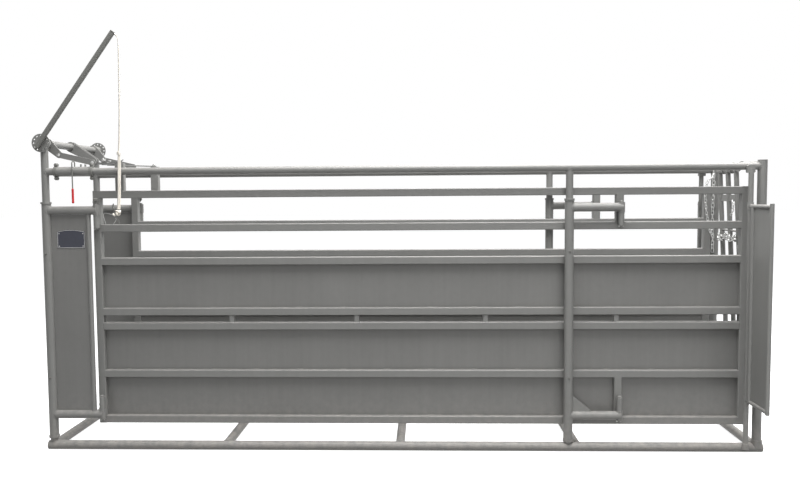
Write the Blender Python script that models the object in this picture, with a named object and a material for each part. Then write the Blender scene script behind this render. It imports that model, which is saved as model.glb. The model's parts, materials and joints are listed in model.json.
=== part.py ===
"""Adjustable livestock alley: two barred side panels hung on swing arms inside a fixed tube frame.

Metres, +Z up. +X runs along the alley from the lever end, +Y runs from the near side to the far side.
The design frame has the near left post's axis at X = 0, Y = 0 and the floor at Z = 0. A root empty
moves it so that the world origin is the bottom centre of the part's box.
"""
import math

import bmesh
import bpy
from mathutils import Matrix, Vector

# Driving dimensions of the fixed frame
POST_SPACING = 4.74
FRAME_WIDTH = 0.78
MIDDLE_POST_X = 3.495
BASE_TUBE_OD = 0.0603
BASE_END_OVERHANG = 0.036
CROSS_TUBE_COUNT = 5
POST_PIPE_OD = 0.0483
END_POST_OD = 0.0603
END_POST_TOP = 1.935
TOP_RAIL_OD = 0.0483
TOP_RAIL_Z = 1.893
GUIDE_OD = 0.0334
GUIDE_X = 4.651
GUIDE_TOP = 1.900
GUIDE_FLAT_LENGTH = 0.050
GUIDE_FLAT_WIDTH = 0.046
GUIDE_FLAT_CORNER = 0.004
GUIDE_SOCKET_OD = 0.044
GUIDE_SOCKET_RISE = 0.008
END_CROSS_OD = 0.0334
END_CROSS_Z = 1.914
COLLAR_OD = 0.068
COLLAR_HEIGHT = 0.014
FOOT_OD = 0.072
FOOT_HEIGHT = 0.020

# Swing arms and their hinges
SLEEVE_OD = 0.0603
SLEEVE_BORE = 0.0524
SLEEVE_TOP = 1.677
LEFT_SLEEVE_BOTTOM = 0.098
MIDDLE_SLEEVE_BOTTOM = 0.082
ARM_OD = 0.0570
ARM_LENGTH = 0.340
UPPER_ARM_Z = 1.633
LOWER_ARM_Z = 0.243
ARM_END_PAST_PIN = 0.009
ARM_EYE_OD = 0.044
ARM_EYE_HEIGHT = 0.066
PIN_DIAMETER = 0.016
PIN_END = 0.012
PIN_HEAD_OD = 0.028
PIN_HEAD_HEIGHT = 0.008
BARREL_OD = 0.038
BARREL_HEIGHT = 0.088
BARREL_WEB = 0.012
BARREL_WEB_INSET = 0.004
SWING_STILE_OD = 0.030
SWING_STILE_X = 0.285
SHEET_THICKNESS = 0.003
GUSSET_REACH = 0.125
GUSSET_HEIGHT = 0.105
GUSSET_THICKNESS = 0.008
BLANK_PLATE_SIZE = (0.189, 0.125)
BLANK_PLATE_CENTRE = (0.163, 1.442)
BLANK_PLATE_ARCH = 0.014
BLANK_PLATE_THICKNESS = 0.002

# Side panels
PANEL_TUBE = 0.0508
PANEL_CORNER = 0.004
PANEL_FACE_Y = 0.036
PANEL_LEAD = 0.040
PANEL_LEFT = ARM_LENGTH - PANEL_LEAD
PANEL_RIGHT = 4.679
RAIL_BOTTOMS = {
    "bottom": 0.172, "lower": 0.488, "slot": 0.815, "waist": 0.914, "upper": 1.258, "second": 1.485,
    "top": 1.713,
}
SHEETED_BAYS = {"lower": ("bottom", "lower"), "middle": ("lower", "slot"), "upper": ("waist", "upper")}
STRUT_BAYS = (("bottom", "lower"), ("second", "top"))
SLOT_BAY = ("slot", "waist")
SHEET_RECESS = 0.036
STUB_XS = (1.230, 2.080, 2.948, 3.820)
STUB_WIDTH = 0.034
STUB_INSET = 0.006
HANGER_X = 0.485
HANGER_SIZE = (0.060, 0.040)
HANGER_INSET = 0.006
HANGER_TOP = 1.950
HANGER_SOCKET = 0.030
HANGER_PIN_INSET = 0.010

# Adjusting gear above the left posts
SHAFT_OD = 0.0483
SHAFT_Z = 2.083
BEARING_OD = 0.0610
BEARING_BORE = 0.0496
BEARING_LENGTH = 0.072
DISC_OD = 0.122
DISC_THICKNESS = 0.008
DISC_HOLE_COUNT = 12
DISC_HOLE = 0.012
DISC_HOLE_CIRCLE = 0.098
LEVER_OD = 0.0349
LEVER_LENGTH = 0.884
LEVER_ANGLE = math.radians(54.3)
LEVER_TAIL = 0.034
CRANK_EYE_OD = 0.072
CRANK_END_OD = 0.044
CRANK_PLATE = 0.009
CRANK_PIN = 0.012
SHORT_CRANK_LENGTH = 0.109
SHORT_CRANK_ANGLE = math.radians(-43.5)
SHORT_CRANK_Y = 0.045
LONG_CRANK_LENGTH = 0.192
LONG_CRANK_ANGLE = math.radians(-30.7)
LONG_CRANK_SPREAD = 0.030
LOCK_LINK_LENGTH = 0.236
LOCK_LINK_DEPTH = 0.038
LOCK_LINK_THICKNESS = 0.008
LOCK_LINK_ANGLE = math.radians(-13.2)
YOKE_THICKNESS = 0.010
YOKE_LEFT = 0.132
YOKE_RIGHT = 0.292
YOKE_LEFT_HALF = 0.052
YOKE_RIGHT_HALF = 0.086
YOKE_PIN_X = 0.255
YOKE_PIN_OFFSET = 0.045
YOKE_SLOT_END = 0.229
YOKE_SLOT_HALF = 0.0275
YOKE_PLAY_ALONG = 0.011
YOKE_PLAY_OUT = 0.010
YOKE_PLAY_IN = 0.022
YOKE_LINK_WIDTH = 0.038
YOKE_LINK_THICKNESS = 0.008
YOKE_LINK_PIN = 0.012

# Friction lock on the near top rail
CLAMP_XS = (0.078, 0.320)
CLAMP_WIDTH = 0.022
CLAMP_OD = 0.070
CLAMP_EAR_REACH = 0.056
CLAMP_EAR_DEPTH = 0.020
CLAMP_EAR_INSET = 0.001
CLAMP_EAR_CORNER = 0.006
CLAMP_BOLT = 0.010
CLAMP_BOLT_OFFSET = 0.045
CLAMP_BOLT_END = 0.009
LOCK_SLEEVE_OD = 0.065
LOCK_SLEEVE_BORE = 0.0496
LOCK_SLEEVE_WALL = (LOCK_SLEEVE_OD - LOCK_SLEEVE_BORE) / 2
RELEASE_ROD_X = 0.203
RELEASE_ROD_OD = 0.008
RELEASE_ROD_RISE = 0.034
RELEASE_ROD_BEND = 0.014
RELEASE_ROD_Y = -0.040
GRIP_OD = 0.015
GRIP_TOP = 1.779
GRIP_BOTTOM = 1.681
LOCK_SCREW_XS = (0.246, 0.276)
LOCK_SCREW_OD = 0.012
LOCK_SCREW_HEIGHT = 0.016

# Wings and the hanging gate at the right end
WING_LENGTH = 0.293
WING_TOP = 1.633
WING_BOTTOM = 0.360
WING_TOP_OD = 0.0267
WING_BOTTOM_OD = 0.0267
WING_STILE_OD = 0.0267
WING_INNER_STILE_OD = 0.0334
WING_INNER_STILE_OFFSET = 0.045
WING_BARREL_OD = 0.040
WING_BARREL_HEIGHT = 0.050
WING_STILE_BELOW = 0.015
WING_STILE_ABOVE = 0.020
FRONT_WING_ANGLE = math.radians(0.5)
REAR_WING_ANGLE = math.radians(18.5)
GATE_BAR_OD = 0.0334
GATE_BAR_SPACING = 0.138
GATE_BAR_COUNT = 3
GATE_HINGE_X = 4.676
GATE_HINGE_Z = 1.880
GATE_BAR_LENGTH = 1.430
GATE_LEAN = math.radians(3.2)
GATE_LUG_EYE_OD = 0.052
GATE_LUG_WIDTH = 0.012
GATE_LUG_WALL = 0.008
GATE_CROSS_HEIGHTS = (1.456, 1.391)
GATE_CROSS_OD = 0.014
GATE_FOOT_OD = 0.0267
GATE_WEB_THICKNESS = 0.008
GATE_WEB_HEIGHT = 0.046
GATE_WEB_TOP = 1.708
CHAIN_X = 4.712
CHAIN_TOP = 1.896
CHAIN_LENGTH = 0.62
CHAIN_WIDTH = 0.026

# Pull rope
ROPE_DIAMETER = 0.011
ROPE_KNOT_RADIUS = 0.019
ROPE_KNOT_STRETCH = 1.2
ROPE_POINTS = 48
ROPE_ROUTE = (
    (0.5258, -0.062, 2.7838), (0.5362, -0.063, 2.7765), (0.5470, -0.067, 2.7640), (0.5555, -0.075, 2.7400),
    (0.5590, -0.081, 2.7050), (0.5600, -0.085, 2.6600), (0.5595, -0.086, 2.6000), (0.5585, -0.086, 2.5300),
    (0.5570, -0.085, 2.4500), (0.5550, -0.084, 2.3650), (0.5520, -0.082, 2.2800), (0.5480, -0.080, 2.1900),
    (0.5430, -0.077, 2.1100), (0.5370, -0.073, 2.0450), (0.5310, -0.069, 1.9750), (0.5260, -0.065, 1.9050),
    (0.5220, -0.061, 1.8350), (0.5190, -0.058, 1.7650), (0.5150, -0.056, 1.6950), (0.5110, -0.055, 1.6400),
)

# Shared fits and mesh finish
TOUCH_GAP = 0.0003
RUNNING_GAP = 0.0006
ROUND_SIDES = 20
SMALL_SIDES = 12
SMOOTH_ANGLE = math.radians(40.0)

GUIDE_OFFSET = TOP_RAIL_OD / 2 + GUIDE_OD / 2 + 2 * TOUCH_GAP
YOKE_Z = HANGER_TOP + YOKE_LINK_THICKNESS + 3 * TOUCH_GAP

# The part's box, from which the origin follows
BOX_LEFT = -DISC_OD / 2
BOX_RIGHT = POST_SPACING + BASE_END_OVERHANG
BOX_NEAR = -GUIDE_OFFSET - WING_LENGTH * math.cos(FRONT_WING_ANGLE) - WING_STILE_OD / 2
BOX_FAR = FRAME_WIDTH + GUIDE_OFFSET + WING_LENGTH * math.cos(REAR_WING_ANGLE) + WING_STILE_OD / 2
ORIGIN_X = (BOX_LEFT + BOX_RIGHT) / 2
ORIGIN_Y = (BOX_NEAR + BOX_FAR) / 2

BASE_Z = BASE_TUBE_OD / 2

# Paint and bare metal: base colour, roughness, metallic
FINISHES = {
    "grey_paint": ((0.17, 0.17, 0.165), 0.45, 0.35),
    "sheet_paint": ((0.15, 0.15, 0.145), 0.50, 0.30),
    "lever_paint": ((0.12, 0.12, 0.12), 0.50, 0.30),
    "bright_zinc": ((0.45, 0.45, 0.44), 0.35, 0.85),
    "red_grip": ((0.50, 0.01, 0.015), 0.45, 0.0),
    "rope_fibre": ((0.78, 0.74, 0.62), 0.85, 0.0),
    "blank_plate": ((0.25, 0.25, 0.26), 0.40, 0.40),
}

# Depth of each side's posts, and the direction that points into the alley from there
SIDES = {"front": (0.0, 1.0), "rear": (FRAME_WIDTH, -1.0)}


def side_y(side, offset):
    """Depth of a point that lies `offset` inwards from a side's post axis."""
    base, sign = SIDES[side]
    return base + sign * offset


def polar(radius, angle):
    """Point at a distance and an angle above +X, in the plane of the alley's length and height."""
    return radius * math.cos(angle), radius * math.sin(angle)


def lever_tip():
    along, up = polar(LEVER_LENGTH, LEVER_ANGLE)
    return Vector((along, LEVER_Y, SHAFT_Z + up))


def short_crank_pin(side):
    along, up = polar(SHORT_CRANK_LENGTH, SHORT_CRANK_ANGLE)
    return Vector((along, side_y(side, SHORT_CRANK_Y), SHAFT_Z + up))


def long_crank_pin():
    along, up = polar(LONG_CRANK_LENGTH, LONG_CRANK_ANGLE)
    return Vector((along, FRAME_WIDTH / 2, SHAFT_Z + up))


def hanger_pin(side):
    return Vector((HANGER_X - HANGER_PIN_INSET, side_y(side, HANGER_Y), HANGER_TOP))


def yoke_pin(side):
    return Vector((YOKE_PIN_X, FRAME_WIDTH / 2 - SIDES[side][1] * YOKE_PIN_OFFSET, HANGER_TOP))


DISC_FACE_Y = -BEARING_LENGTH / 2 - TOUCH_GAP * 2 - DISC_THICKNESS
LEVER_Y = DISC_FACE_Y - TOUCH_GAP - LEVER_OD / 2
HANGER_Y = PANEL_FACE_Y + HANGER_INSET + HANGER_SIZE[1] / 2
LOCK_LINK_Y = SHORT_CRANK_Y - CRANK_PLATE / 2 - TOUCH_GAP - LOCK_LINK_THICKNESS / 2

# Joint axes in the design frame: the body that carries each one, and where it lies
PIVOTS = {
    "alley_root": (None, Vector((0.0, 0.0, 0.0))),
    "front_swing_axis": ("alley_root", Vector((0.0, 0.0, 0.0))),
    "front_panel_axis": ("front_swing_axis", Vector((ARM_LENGTH, 0.0, 0.0))),
    "front_middle_axis": ("alley_root", Vector((MIDDLE_POST_X, 0.0, 0.0))),
    "rear_swing_axis": ("alley_root", Vector((0.0, FRAME_WIDTH, 0.0))),
    "rear_panel_axis": ("rear_swing_axis", Vector((ARM_LENGTH, FRAME_WIDTH, 0.0))),
    "rear_middle_axis": ("alley_root", Vector((MIDDLE_POST_X, FRAME_WIDTH, 0.0))),
    "shaft_axis": ("alley_root", Vector((0.0, 0.0, SHAFT_Z))),
    "front_link_axis": ("shaft_axis", short_crank_pin("front")),
    "rear_link_axis": ("shaft_axis", short_crank_pin("rear")),
    "yoke_slide": ("alley_root", Vector((YOKE_PIN_X, FRAME_WIDTH / 2, YOKE_Z))),
    "front_yoke_axis": ("front_panel_axis", hanger_pin("front")),
    "rear_yoke_axis": ("rear_panel_axis", hanger_pin("rear")),
    "rope_axis": ("shaft_axis", lever_tip()),
    "lock_axis": ("alley_root", Vector((RELEASE_ROD_X, 0.0, TOP_RAIL_Z))),
    "front_wing_axis": ("alley_root", Vector((GUIDE_X, -GUIDE_OFFSET, 0.0))),
    "rear_wing_axis": ("alley_root", Vector((GUIDE_X, FRAME_WIDTH + GUIDE_OFFSET, 0.0))),
    "gate_axis": ("alley_root", Vector((GATE_HINGE_X, FRAME_WIDTH / 2, GATE_HINGE_Z))),
}


def clear_scene():
    """Remove every object of the scene that the script starts in."""
    for item in list(bpy.data.objects):
        bpy.data.objects.remove(item, do_unlink=True)


def new_collection(name):
    collection = bpy.data.collections.new(name)
    bpy.context.scene.collection.children.link(collection)
    return collection


def make_materials():
    """One Principled material for each finish."""
    made = {}
    for name, (colour, roughness, metallic) in FINISHES.items():
        material = bpy.data.materials.new(name)
        material.use_nodes = True
        shader = material.node_tree.nodes["Principled BSDF"]
        shader.inputs["Base Color"].default_value = (*colour, 1.0)
        shader.inputs["Roughness"].default_value = roughness
        shader.inputs["Metallic"].default_value = metallic
        material.diffuse_color = (*colour, 1.0)
        made[name] = material
    return made


def make_pivots(collection):
    """An empty on each joint axis, under the empty that carries it."""
    made = {}
    for name, (parent, place) in PIVOTS.items():
        empty = bpy.data.objects.new(name, None)
        empty.empty_display_size = 0.1
        collection.objects.link(empty)
        if parent is None:
            empty.location = Vector((-ORIGIN_X, -ORIGIN_Y, 0.0))
        else:
            empty.parent = made[parent]
            empty.location = place - PIVOTS[parent][1]
        made[name] = empty
    return made


def cylinder(start, end, radius, sides=ROUND_SIDES, end_radius=None):
    """A closed round bar or cone between two points."""
    start, end = Vector(start), Vector(end)
    run = end - start
    turn = run.to_track_quat("Z", "Y").to_matrix().to_4x4()
    bar = bmesh.new()
    bmesh.ops.create_cone(
        bar, cap_ends=True, cap_tris=False, segments=sides, radius1=radius,
        radius2=radius if end_radius is None else end_radius, depth=run.length,
        matrix=Matrix.Translation((start + end) / 2) @ turn,
    )
    return bar


def upright(x, y, bottom, top, radius, sides=ROUND_SIDES):
    """A vertical round bar."""
    return cylinder((x, y, bottom), (x, y, top), radius, sides)


def box(low, high, corner=0.0, along=0):
    """A block between two corners, with the four edges that run along one axis taken off."""
    low, high = Vector(low), Vector(high)
    low, high = Vector(map(min, low, high)), Vector(map(max, low, high))
    block = bmesh.new()
    bmesh.ops.create_cube(block, size=1.0)
    bmesh.ops.scale(block, vec=high - low, verts=block.verts)
    bmesh.ops.translate(block, vec=(low + high) / 2, verts=block.verts)
    if corner > 0.0:
        edges = [
            edge for edge in block.edges
            if abs((edge.verts[1].co - edge.verts[0].co).normalized()[along]) > 0.99
        ]
        bmesh.ops.bevel(block, geom=edges, offset=corner, segments=1, affect="EDGES")
    return block


def ball(centre, radius, squash=1.0):
    """A low round lump, such as a knot."""
    lump = bmesh.new()
    place = Matrix.Translation(centre) @ Matrix.Diagonal((1.0, 1.0, squash, 1.0))
    bmesh.ops.create_uvsphere(lump, u_segments=SMALL_SIDES, v_segments=8, radius=radius, matrix=place)
    return lump


def joined(shapes, name):
    """One mesh that holds several closed shapes side by side."""
    mesh = bpy.data.meshes.new(name)
    whole = bmesh.new()
    for shape in shapes:
        part = bpy.data.meshes.new("shape")
        shape.to_mesh(part)
        whole.from_mesh(part)
        shape.free()
        bpy.data.meshes.remove(part)
    bmesh.ops.recalc_face_normals(whole, faces=whole.faces)
    whole.to_mesh(mesh)
    whole.free()
    mesh.shade_smooth()
    mesh.set_sharp_from_angle(angle=SMOOTH_ANGLE)
    return mesh


class Workshop:
    """Holds the collections, pivots and materials, and adds the pieces one by one."""

    def __init__(self):
        self.parts = new_collection("adjustable_livestock_alley")
        self.cutters = new_collection("cutters")
        self.materials = make_materials()
        self.pivots = make_pivots(self.parts)

    def hang(self, item, pivot, material=None):
        item.parent = self.pivots[pivot]
        if material is not None:
            item.data.materials.append(self.materials[material])
        return item

    def place(self, name, pivot, shapes, collection):
        mesh = joined(shapes, name)
        mesh.transform(Matrix.Translation(-PIVOTS[pivot][1]))
        item = bpy.data.objects.new(name, mesh)
        collection.objects.link(item)
        return item

    def piece(self, name, pivot, material, shape, joins=(), cuts=()):
        """A part made of one closed shape, with others joined to it and cut from it.

        Each entry of joins and cuts is a list of shapes that don't meet one another.
        """
        item = self.hang(self.place(name, pivot, [shape], self.parts), pivot, material)
        steps = [("UNION", group) for group in joins] + [("DIFFERENCE", group) for group in cuts]
        for number, (operation, group) in enumerate(steps):
            tool = self.place(f"{name}_tool_{number}", pivot, group, self.cutters)
            tool.hide_render = True
            tool.display_type = "WIRE"
            self.hang(tool, pivot)
            step = item.modifiers.new(f"{operation.lower()}_{number}", "BOOLEAN")
            step.operation = operation
            step.object = tool
            step.solver = "EXACT"
        return item

    def wire(self, name, pivot, material, points, radius, resolution=2):
        """A bent rod or rope along a list of points, with closed ends."""
        curve = bpy.data.curves.new(name, "CURVE")
        curve.dimensions = "3D"
        curve.bevel_depth = radius
        curve.bevel_resolution = resolution
        curve.use_fill_caps = True
        spline = curve.splines.new("POLY")
        spline.points.add(len(points) - 1)
        for slot, point in zip(spline.points, points):
            slot.co = (*(Vector(point) - PIVOTS[pivot][1]), 1.0)
        spline.use_smooth = True
        item = bpy.data.objects.new(name, curve)
        self.parts.objects.link(item)
        return self.hang(item, pivot, material)

    def plate_shape(self, outlines, thickness, centre, facing):
        """A flat plate cut to an outline with holes, as a closed shape ready for a piece.

        The outline's first axis is +X. Its second is +Y for a plate that faces up, and +Z for a plate
        that faces the near side.
        """
        curve = bpy.data.curves.new("plate_outline", "CURVE")
        curve.dimensions = "2D"
        curve.fill_mode = "BOTH"
        curve.extrude = thickness / 2
        for outline in outlines:
            spline = curve.splines.new("POLY")
            spline.points.add(len(outline) - 1)
            for slot, (u, v) in zip(spline.points, outline):
                slot.co = (u, v, 0.0, 1.0)
            spline.use_cyclic_u = True
        guide = bpy.data.objects.new("plate_guide", curve)
        self.cutters.objects.link(guide)
        bpy.context.view_layer.update()
        evaluated = guide.evaluated_get(bpy.context.evaluated_depsgraph_get())
        mesh = bpy.data.meshes.new_from_object(evaluated)
        bpy.data.objects.remove(guide, do_unlink=True)
        bpy.data.curves.remove(curve)
        turn = Matrix.Rotation(math.radians(90.0), 4, "X") if facing == "near" else Matrix.Identity(4)
        shape = bmesh.new()
        shape.from_mesh(mesh)
        bpy.data.meshes.remove(mesh)
        bmesh.ops.remove_doubles(shape, verts=shape.verts, dist=0.00001)
        bmesh.ops.transform(shape, matrix=Matrix.Translation(centre) @ turn, verts=shape.verts)
        return shape


def arc(centre, radius, start, end, count):
    """Points along a circular arc, angles in radians."""
    step = (end - start) / (count - 1)
    return [
        (centre[0] + radius * math.cos(start + step * i), centre[1] + radius * math.sin(start + step * i))
        for i in range(count)
    ]


def ring_points(centre, radius, count):
    """Points round a full circle."""
    return arc(centre, radius, 0.0, 2 * math.pi * (count - 1) / count, count)


def strap_outline(start, end, start_radius, end_radius, count=9):
    """Outline of a flat bar with a round end about each of two points."""
    start, end = Vector(start), Vector(end)
    run = end - start
    heading = math.atan2(run.y, run.x)
    lean = math.acos((start_radius - end_radius) / run.length)
    outline = arc(end, end_radius, heading - lean, heading + lean, count)
    outline += arc(start, start_radius, heading + lean, heading + 2 * math.pi - lean, count)
    return outline


def build_base(shop):
    """Two long tubes on the floor, and the cross tubes between them."""
    radius = BASE_TUBE_OD / 2
    for side in SIDES:
        y = side_y(side, 0.0)
        left = (-BASE_END_OVERHANG, y, BASE_Z)
        right = (POST_SPACING + BASE_END_OVERHANG, y, BASE_Z)
        shop.piece(f"{side}_base_tube", "alley_root", "grey_paint", cylinder(left, right, radius))
    spacing = POST_SPACING / (CROSS_TUBE_COUNT - 1)
    for number in range(CROSS_TUBE_COUNT):
        x = spacing * number
        bar = cylinder((x, 0.0, BASE_Z), (x, FRAME_WIDTH, BASE_Z), radius)
        shop.piece(f"base_cross_tube_{number + 1}", "alley_root", "grey_paint", bar,
                   cuts=[[base_saddle(side) for side in SIDES]])


def base_saddle(side):
    """The space that a base tube takes out of the foot of what stands on it."""
    y = side_y(side, 0.0)
    reach = 2 * BASE_END_OVERHANG
    return cylinder((-reach, y, BASE_Z), (POST_SPACING + reach, y, BASE_Z), BASE_TUBE_OD / 2 + TOUCH_GAP)


def cross_saddle(side, x):
    """The space that an end cross tube takes out of the foot of a post."""
    start, end = (x, side_y(side, POST_PIPE_OD / 32), BASE_Z), (x, FRAME_WIDTH / 2, BASE_Z)
    return cylinder(start, end, BASE_TUBE_OD / 2 + TOUCH_GAP)


def rail_saddle(side):
    """The space that a top rail takes out of what meets it."""
    y = side_y(side, 0.0)
    reach = POST_SPACING + BASE_END_OVERHANG
    start, end = (-BASE_END_OVERHANG, y, TOP_RAIL_Z), (reach, y, TOP_RAIL_Z)
    return cylinder(start, end, TOP_RAIL_OD / 2 + TOUCH_GAP)


def sleeve_collars(x, y, sleeve_bottom):
    """The outer bodies of the two rings that hold a turning sleeve up and down."""
    low, high = sleeve_bottom - TOUCH_GAP, SLEEVE_TOP + TOUCH_GAP
    return [
        upright(x, y, low - COLLAR_HEIGHT, low, COLLAR_OD / 2),
        upright(x, y, high, high + COLLAR_HEIGHT, COLLAR_OD / 2),
    ]


def build_posts(shop):
    """Pairs of posts with their collars, saddled onto the base tubes.

    The left posts carry the bearings of the cross shaft, and the middle posts meet the top rails.
    """
    radius = POST_PIPE_OD / 2
    half = BEARING_LENGTH / 2
    for side in SIDES:
        y = side_y(side, 0.0)
        bearing = cylinder((0.0, y - half, SHAFT_Z), (0.0, y + half, SHAFT_Z), BEARING_OD / 2)
        bore = cylinder((0.0, y - 2 * half, SHAFT_Z), (0.0, y + 2 * half, SHAFT_Z), BEARING_BORE / 2)
        shop.piece(f"{side}_left_post", "alley_root", "grey_paint",
                   upright(0.0, y, BASE_Z, SHAFT_Z - BEARING_OD / 6, radius),
                   joins=[sleeve_collars(0.0, y, LEFT_SLEEVE_BOTTOM), [bearing]],
                   cuts=[[base_saddle(side), bore], [cross_saddle(side, 0.0)]])
        shop.piece(f"{side}_middle_post", "alley_root", "grey_paint",
                   upright(MIDDLE_POST_X, y, BASE_Z, TOP_RAIL_Z, radius),
                   joins=[sleeve_collars(MIDDLE_POST_X, y, MIDDLE_SLEEVE_BOTTOM)],
                   cuts=[[base_saddle(side), rail_saddle(side)]])
        foot = upright(POST_SPACING, y, BASE_TUBE_OD / 2, BASE_TUBE_OD + FOOT_HEIGHT, FOOT_OD / 2)
        shop.piece(f"{side}_right_post", "alley_root", "grey_paint",
                   upright(POST_SPACING, y, BASE_Z, END_POST_TOP, END_POST_OD / 2),
                   joins=[[foot]], cuts=[[base_saddle(side)], [cross_saddle(side, POST_SPACING)]])


def build_rails(shop):
    """Top rails between the end posts, and the cross tube with the lugs of the hanging gate."""
    low, high = TOP_RAIL_Z - TOP_RAIL_OD, TOP_RAIL_Z + TOP_RAIL_OD
    for side in SIDES:
        y = side_y(side, 0.0)
        ends = [
            upright(0.0, y, low, high, POST_PIPE_OD / 2 + TOUCH_GAP),
            upright(POST_SPACING, y, low, high, END_POST_OD / 2 + TOUCH_GAP),
        ]
        rail = cylinder((0.0, y, TOP_RAIL_Z), (POST_SPACING, y, TOP_RAIL_Z), TOP_RAIL_OD / 2)
        shop.piece(f"{side}_top_rail", "alley_root", "grey_paint", rail, cuts=[ends])

    lugs = []
    start, end = (POST_SPACING, END_CROSS_Z), (GATE_HINGE_X, GATE_HINGE_Z)
    hole = ring_points(end, GATE_BAR_OD / 2 + RUNNING_GAP, ROUND_SIDES)
    for offset in (-GATE_BAR_SPACING / 2, GATE_BAR_SPACING / 2):
        outline = strap_outline(start, end, END_CROSS_OD / 2 + GATE_LUG_WALL, GATE_LUG_EYE_OD / 2)
        place = (0.0, FRAME_WIDTH / 2 + offset, 0.0)
        lugs.append(shop.plate_shape([outline, hole], GATE_LUG_WIDTH, place, "near"))
    posts = [
        upright(POST_SPACING, side_y(side, 0.0), low, high, END_POST_OD / 2 + TOUCH_GAP) for side in SIDES
    ]
    cross = cylinder(
        (POST_SPACING, 0.0, END_CROSS_Z), (POST_SPACING, FRAME_WIDTH, END_CROSS_Z), END_CROSS_OD / 2
    )
    shop.piece("end_cross_tube", "alley_root", "grey_paint", cross, joins=[lugs], cuts=[posts])


def build_guides(shop):
    """Thin uprights at the right end, flattened where they lap the top rails."""
    radius = GUIDE_OD / 2
    for side in SIDES:
        y = side_y(side, -GUIDE_OFFSET)
        left, right = GUIDE_X - GUIDE_FLAT_WIDTH / 2, GUIDE_X + GUIDE_FLAT_WIDTH / 2
        flat = box(
            (left, side_y(side, -GUIDE_OFFSET - radius / 2), GUIDE_TOP - GUIDE_FLAT_LENGTH),
            (right, side_y(side, -TOP_RAIL_OD / 4), GUIDE_TOP), GUIDE_FLAT_CORNER, along=1,
        )
        socket = upright(GUIDE_X, y, BASE_Z, BASE_TUBE_OD + GUIDE_SOCKET_RISE, GUIDE_SOCKET_OD / 2)
        shop.piece(f"{side}_guide_upright", "alley_root", "grey_paint",
                   upright(GUIDE_X, y, BASE_Z, GUIDE_TOP - GUIDE_FLAT_LENGTH / 2, radius),
                   joins=[[flat, socket]], cuts=[[base_saddle(side), rail_saddle(side)]])


def arm_weldment(post_x, y, sleeve_bottom):
    """A sleeve, its two arms with round eyes, and the hinge pins that stand and hang in the eyes."""
    tip = post_x + ARM_LENGTH
    sleeve = upright(post_x, y, sleeve_bottom, SLEEVE_TOP, SLEEVE_OD / 2)
    arms, eyes = [], []
    half = ARM_EYE_HEIGHT / 2
    for z in (UPPER_ARM_Z, LOWER_ARM_Z):
        arms.append(cylinder((post_x, y, z), (tip + ARM_END_PAST_PIN, y, z), ARM_OD / 2))
        eyes.append(upright(tip, y, z - half, z + half, ARM_EYE_OD / 2))
    seats = (UPPER_ARM_Z + half - TOUCH_GAP, LOWER_ARM_Z + half + 2 * TOUCH_GAP + BARREL_HEIGHT)
    ends = (UPPER_ARM_Z - half - TOUCH_GAP - BARREL_HEIGHT - PIN_END, LOWER_ARM_Z - half - PIN_END)
    pins, heads = [], []
    for seat, end in zip(seats, ends):
        pins.append(upright(tip, y, end, seat + PIN_HEAD_HEIGHT / 2, PIN_DIAMETER / 2, SMALL_SIDES))
        heads.append(upright(tip, y, seat, seat + PIN_HEAD_HEIGHT, PIN_HEAD_OD / 2, SMALL_SIDES))
    bore = upright(post_x, y, 0.0, END_POST_TOP, SLEEVE_BORE / 2)
    return sleeve, [arms, eyes, pins, heads], [bore]


def build_swing(shop, side):
    """Sheeted swing frame on a left post: the sleeve, arms and stile, and the sheet between them."""
    y = side_y(side, 0.0)
    pivot = f"{side}_swing_axis"
    sleeve, joins, bore = arm_weldment(0.0, y, LEFT_SLEEVE_BOTTOM)
    stile = upright(SWING_STILE_X, y, LOWER_ARM_Z, UPPER_ARM_Z, SWING_STILE_OD / 2)
    shop.piece(f"{side}_swing_frame", pivot, "grey_paint", sleeve, joins=joins + [[stile]], cuts=[bore])
    left = SLEEVE_OD / 2 + TOUCH_GAP
    right = SWING_STILE_X - SWING_STILE_OD / 2 - TOUCH_GAP
    low = LOWER_ARM_Z + ARM_OD / 2 + TOUCH_GAP
    high = UPPER_ARM_Z - ARM_OD / 2 - TOUCH_GAP
    half = SHEET_THICKNESS / 2
    shop.piece(f"{side}_swing_sheet", pivot, "sheet_paint",
               box((left, y - half, low), (right, y + half, high)))


def build_blank_plate(shop):
    """Bare plate with an arched top on the near swing sheet."""
    width, height = BLANK_PLATE_SIZE
    reach = width / 2
    radius = (reach ** 2 + BLANK_PLATE_ARCH ** 2) / (2 * BLANK_PLATE_ARCH)
    spread = math.asin(reach / radius)
    crown = (0.0, height / 2 - radius)
    outline = arc(crown, radius, math.pi / 2 - spread, math.pi / 2 + spread, 9)
    outline += [(-reach, -height / 2), (reach, -height / 2)]
    x, z = BLANK_PLATE_CENTRE
    y = -SHEET_THICKNESS / 2 - TOUCH_GAP - BLANK_PLATE_THICKNESS / 2
    shop.piece("blank_plate", "front_swing_axis", "blank_plate",
               shop.plate_shape([outline], BLANK_PLATE_THICKNESS, (x, y, z), "near"))


def build_middle_arms(shop, side):
    """Swing arms on a middle post, with the gusset over the lower one."""
    y = side_y(side, 0.0)
    sleeve, joins, bore = arm_weldment(MIDDLE_POST_X, y, MIDDLE_SLEEVE_BOTTOM)
    slope = GUSSET_HEIGHT / GUSSET_REACH
    reach = SLEEVE_OD / 2 + GUSSET_REACH + ARM_OD / 2 / slope
    outline = [
        (MIDDLE_POST_X, LOWER_ARM_Z), (MIDDLE_POST_X + reach, LOWER_ARM_Z),
        (MIDDLE_POST_X, LOWER_ARM_Z + reach * slope),
    ]
    gusset = shop.plate_shape([outline], GUSSET_THICKNESS, (0.0, y, 0.0), "near")
    shop.piece(f"{side}_middle_arms", f"{side}_middle_axis", "grey_paint", sleeve,
               joins=joins + [[gusset]], cuts=[bore])


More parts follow.
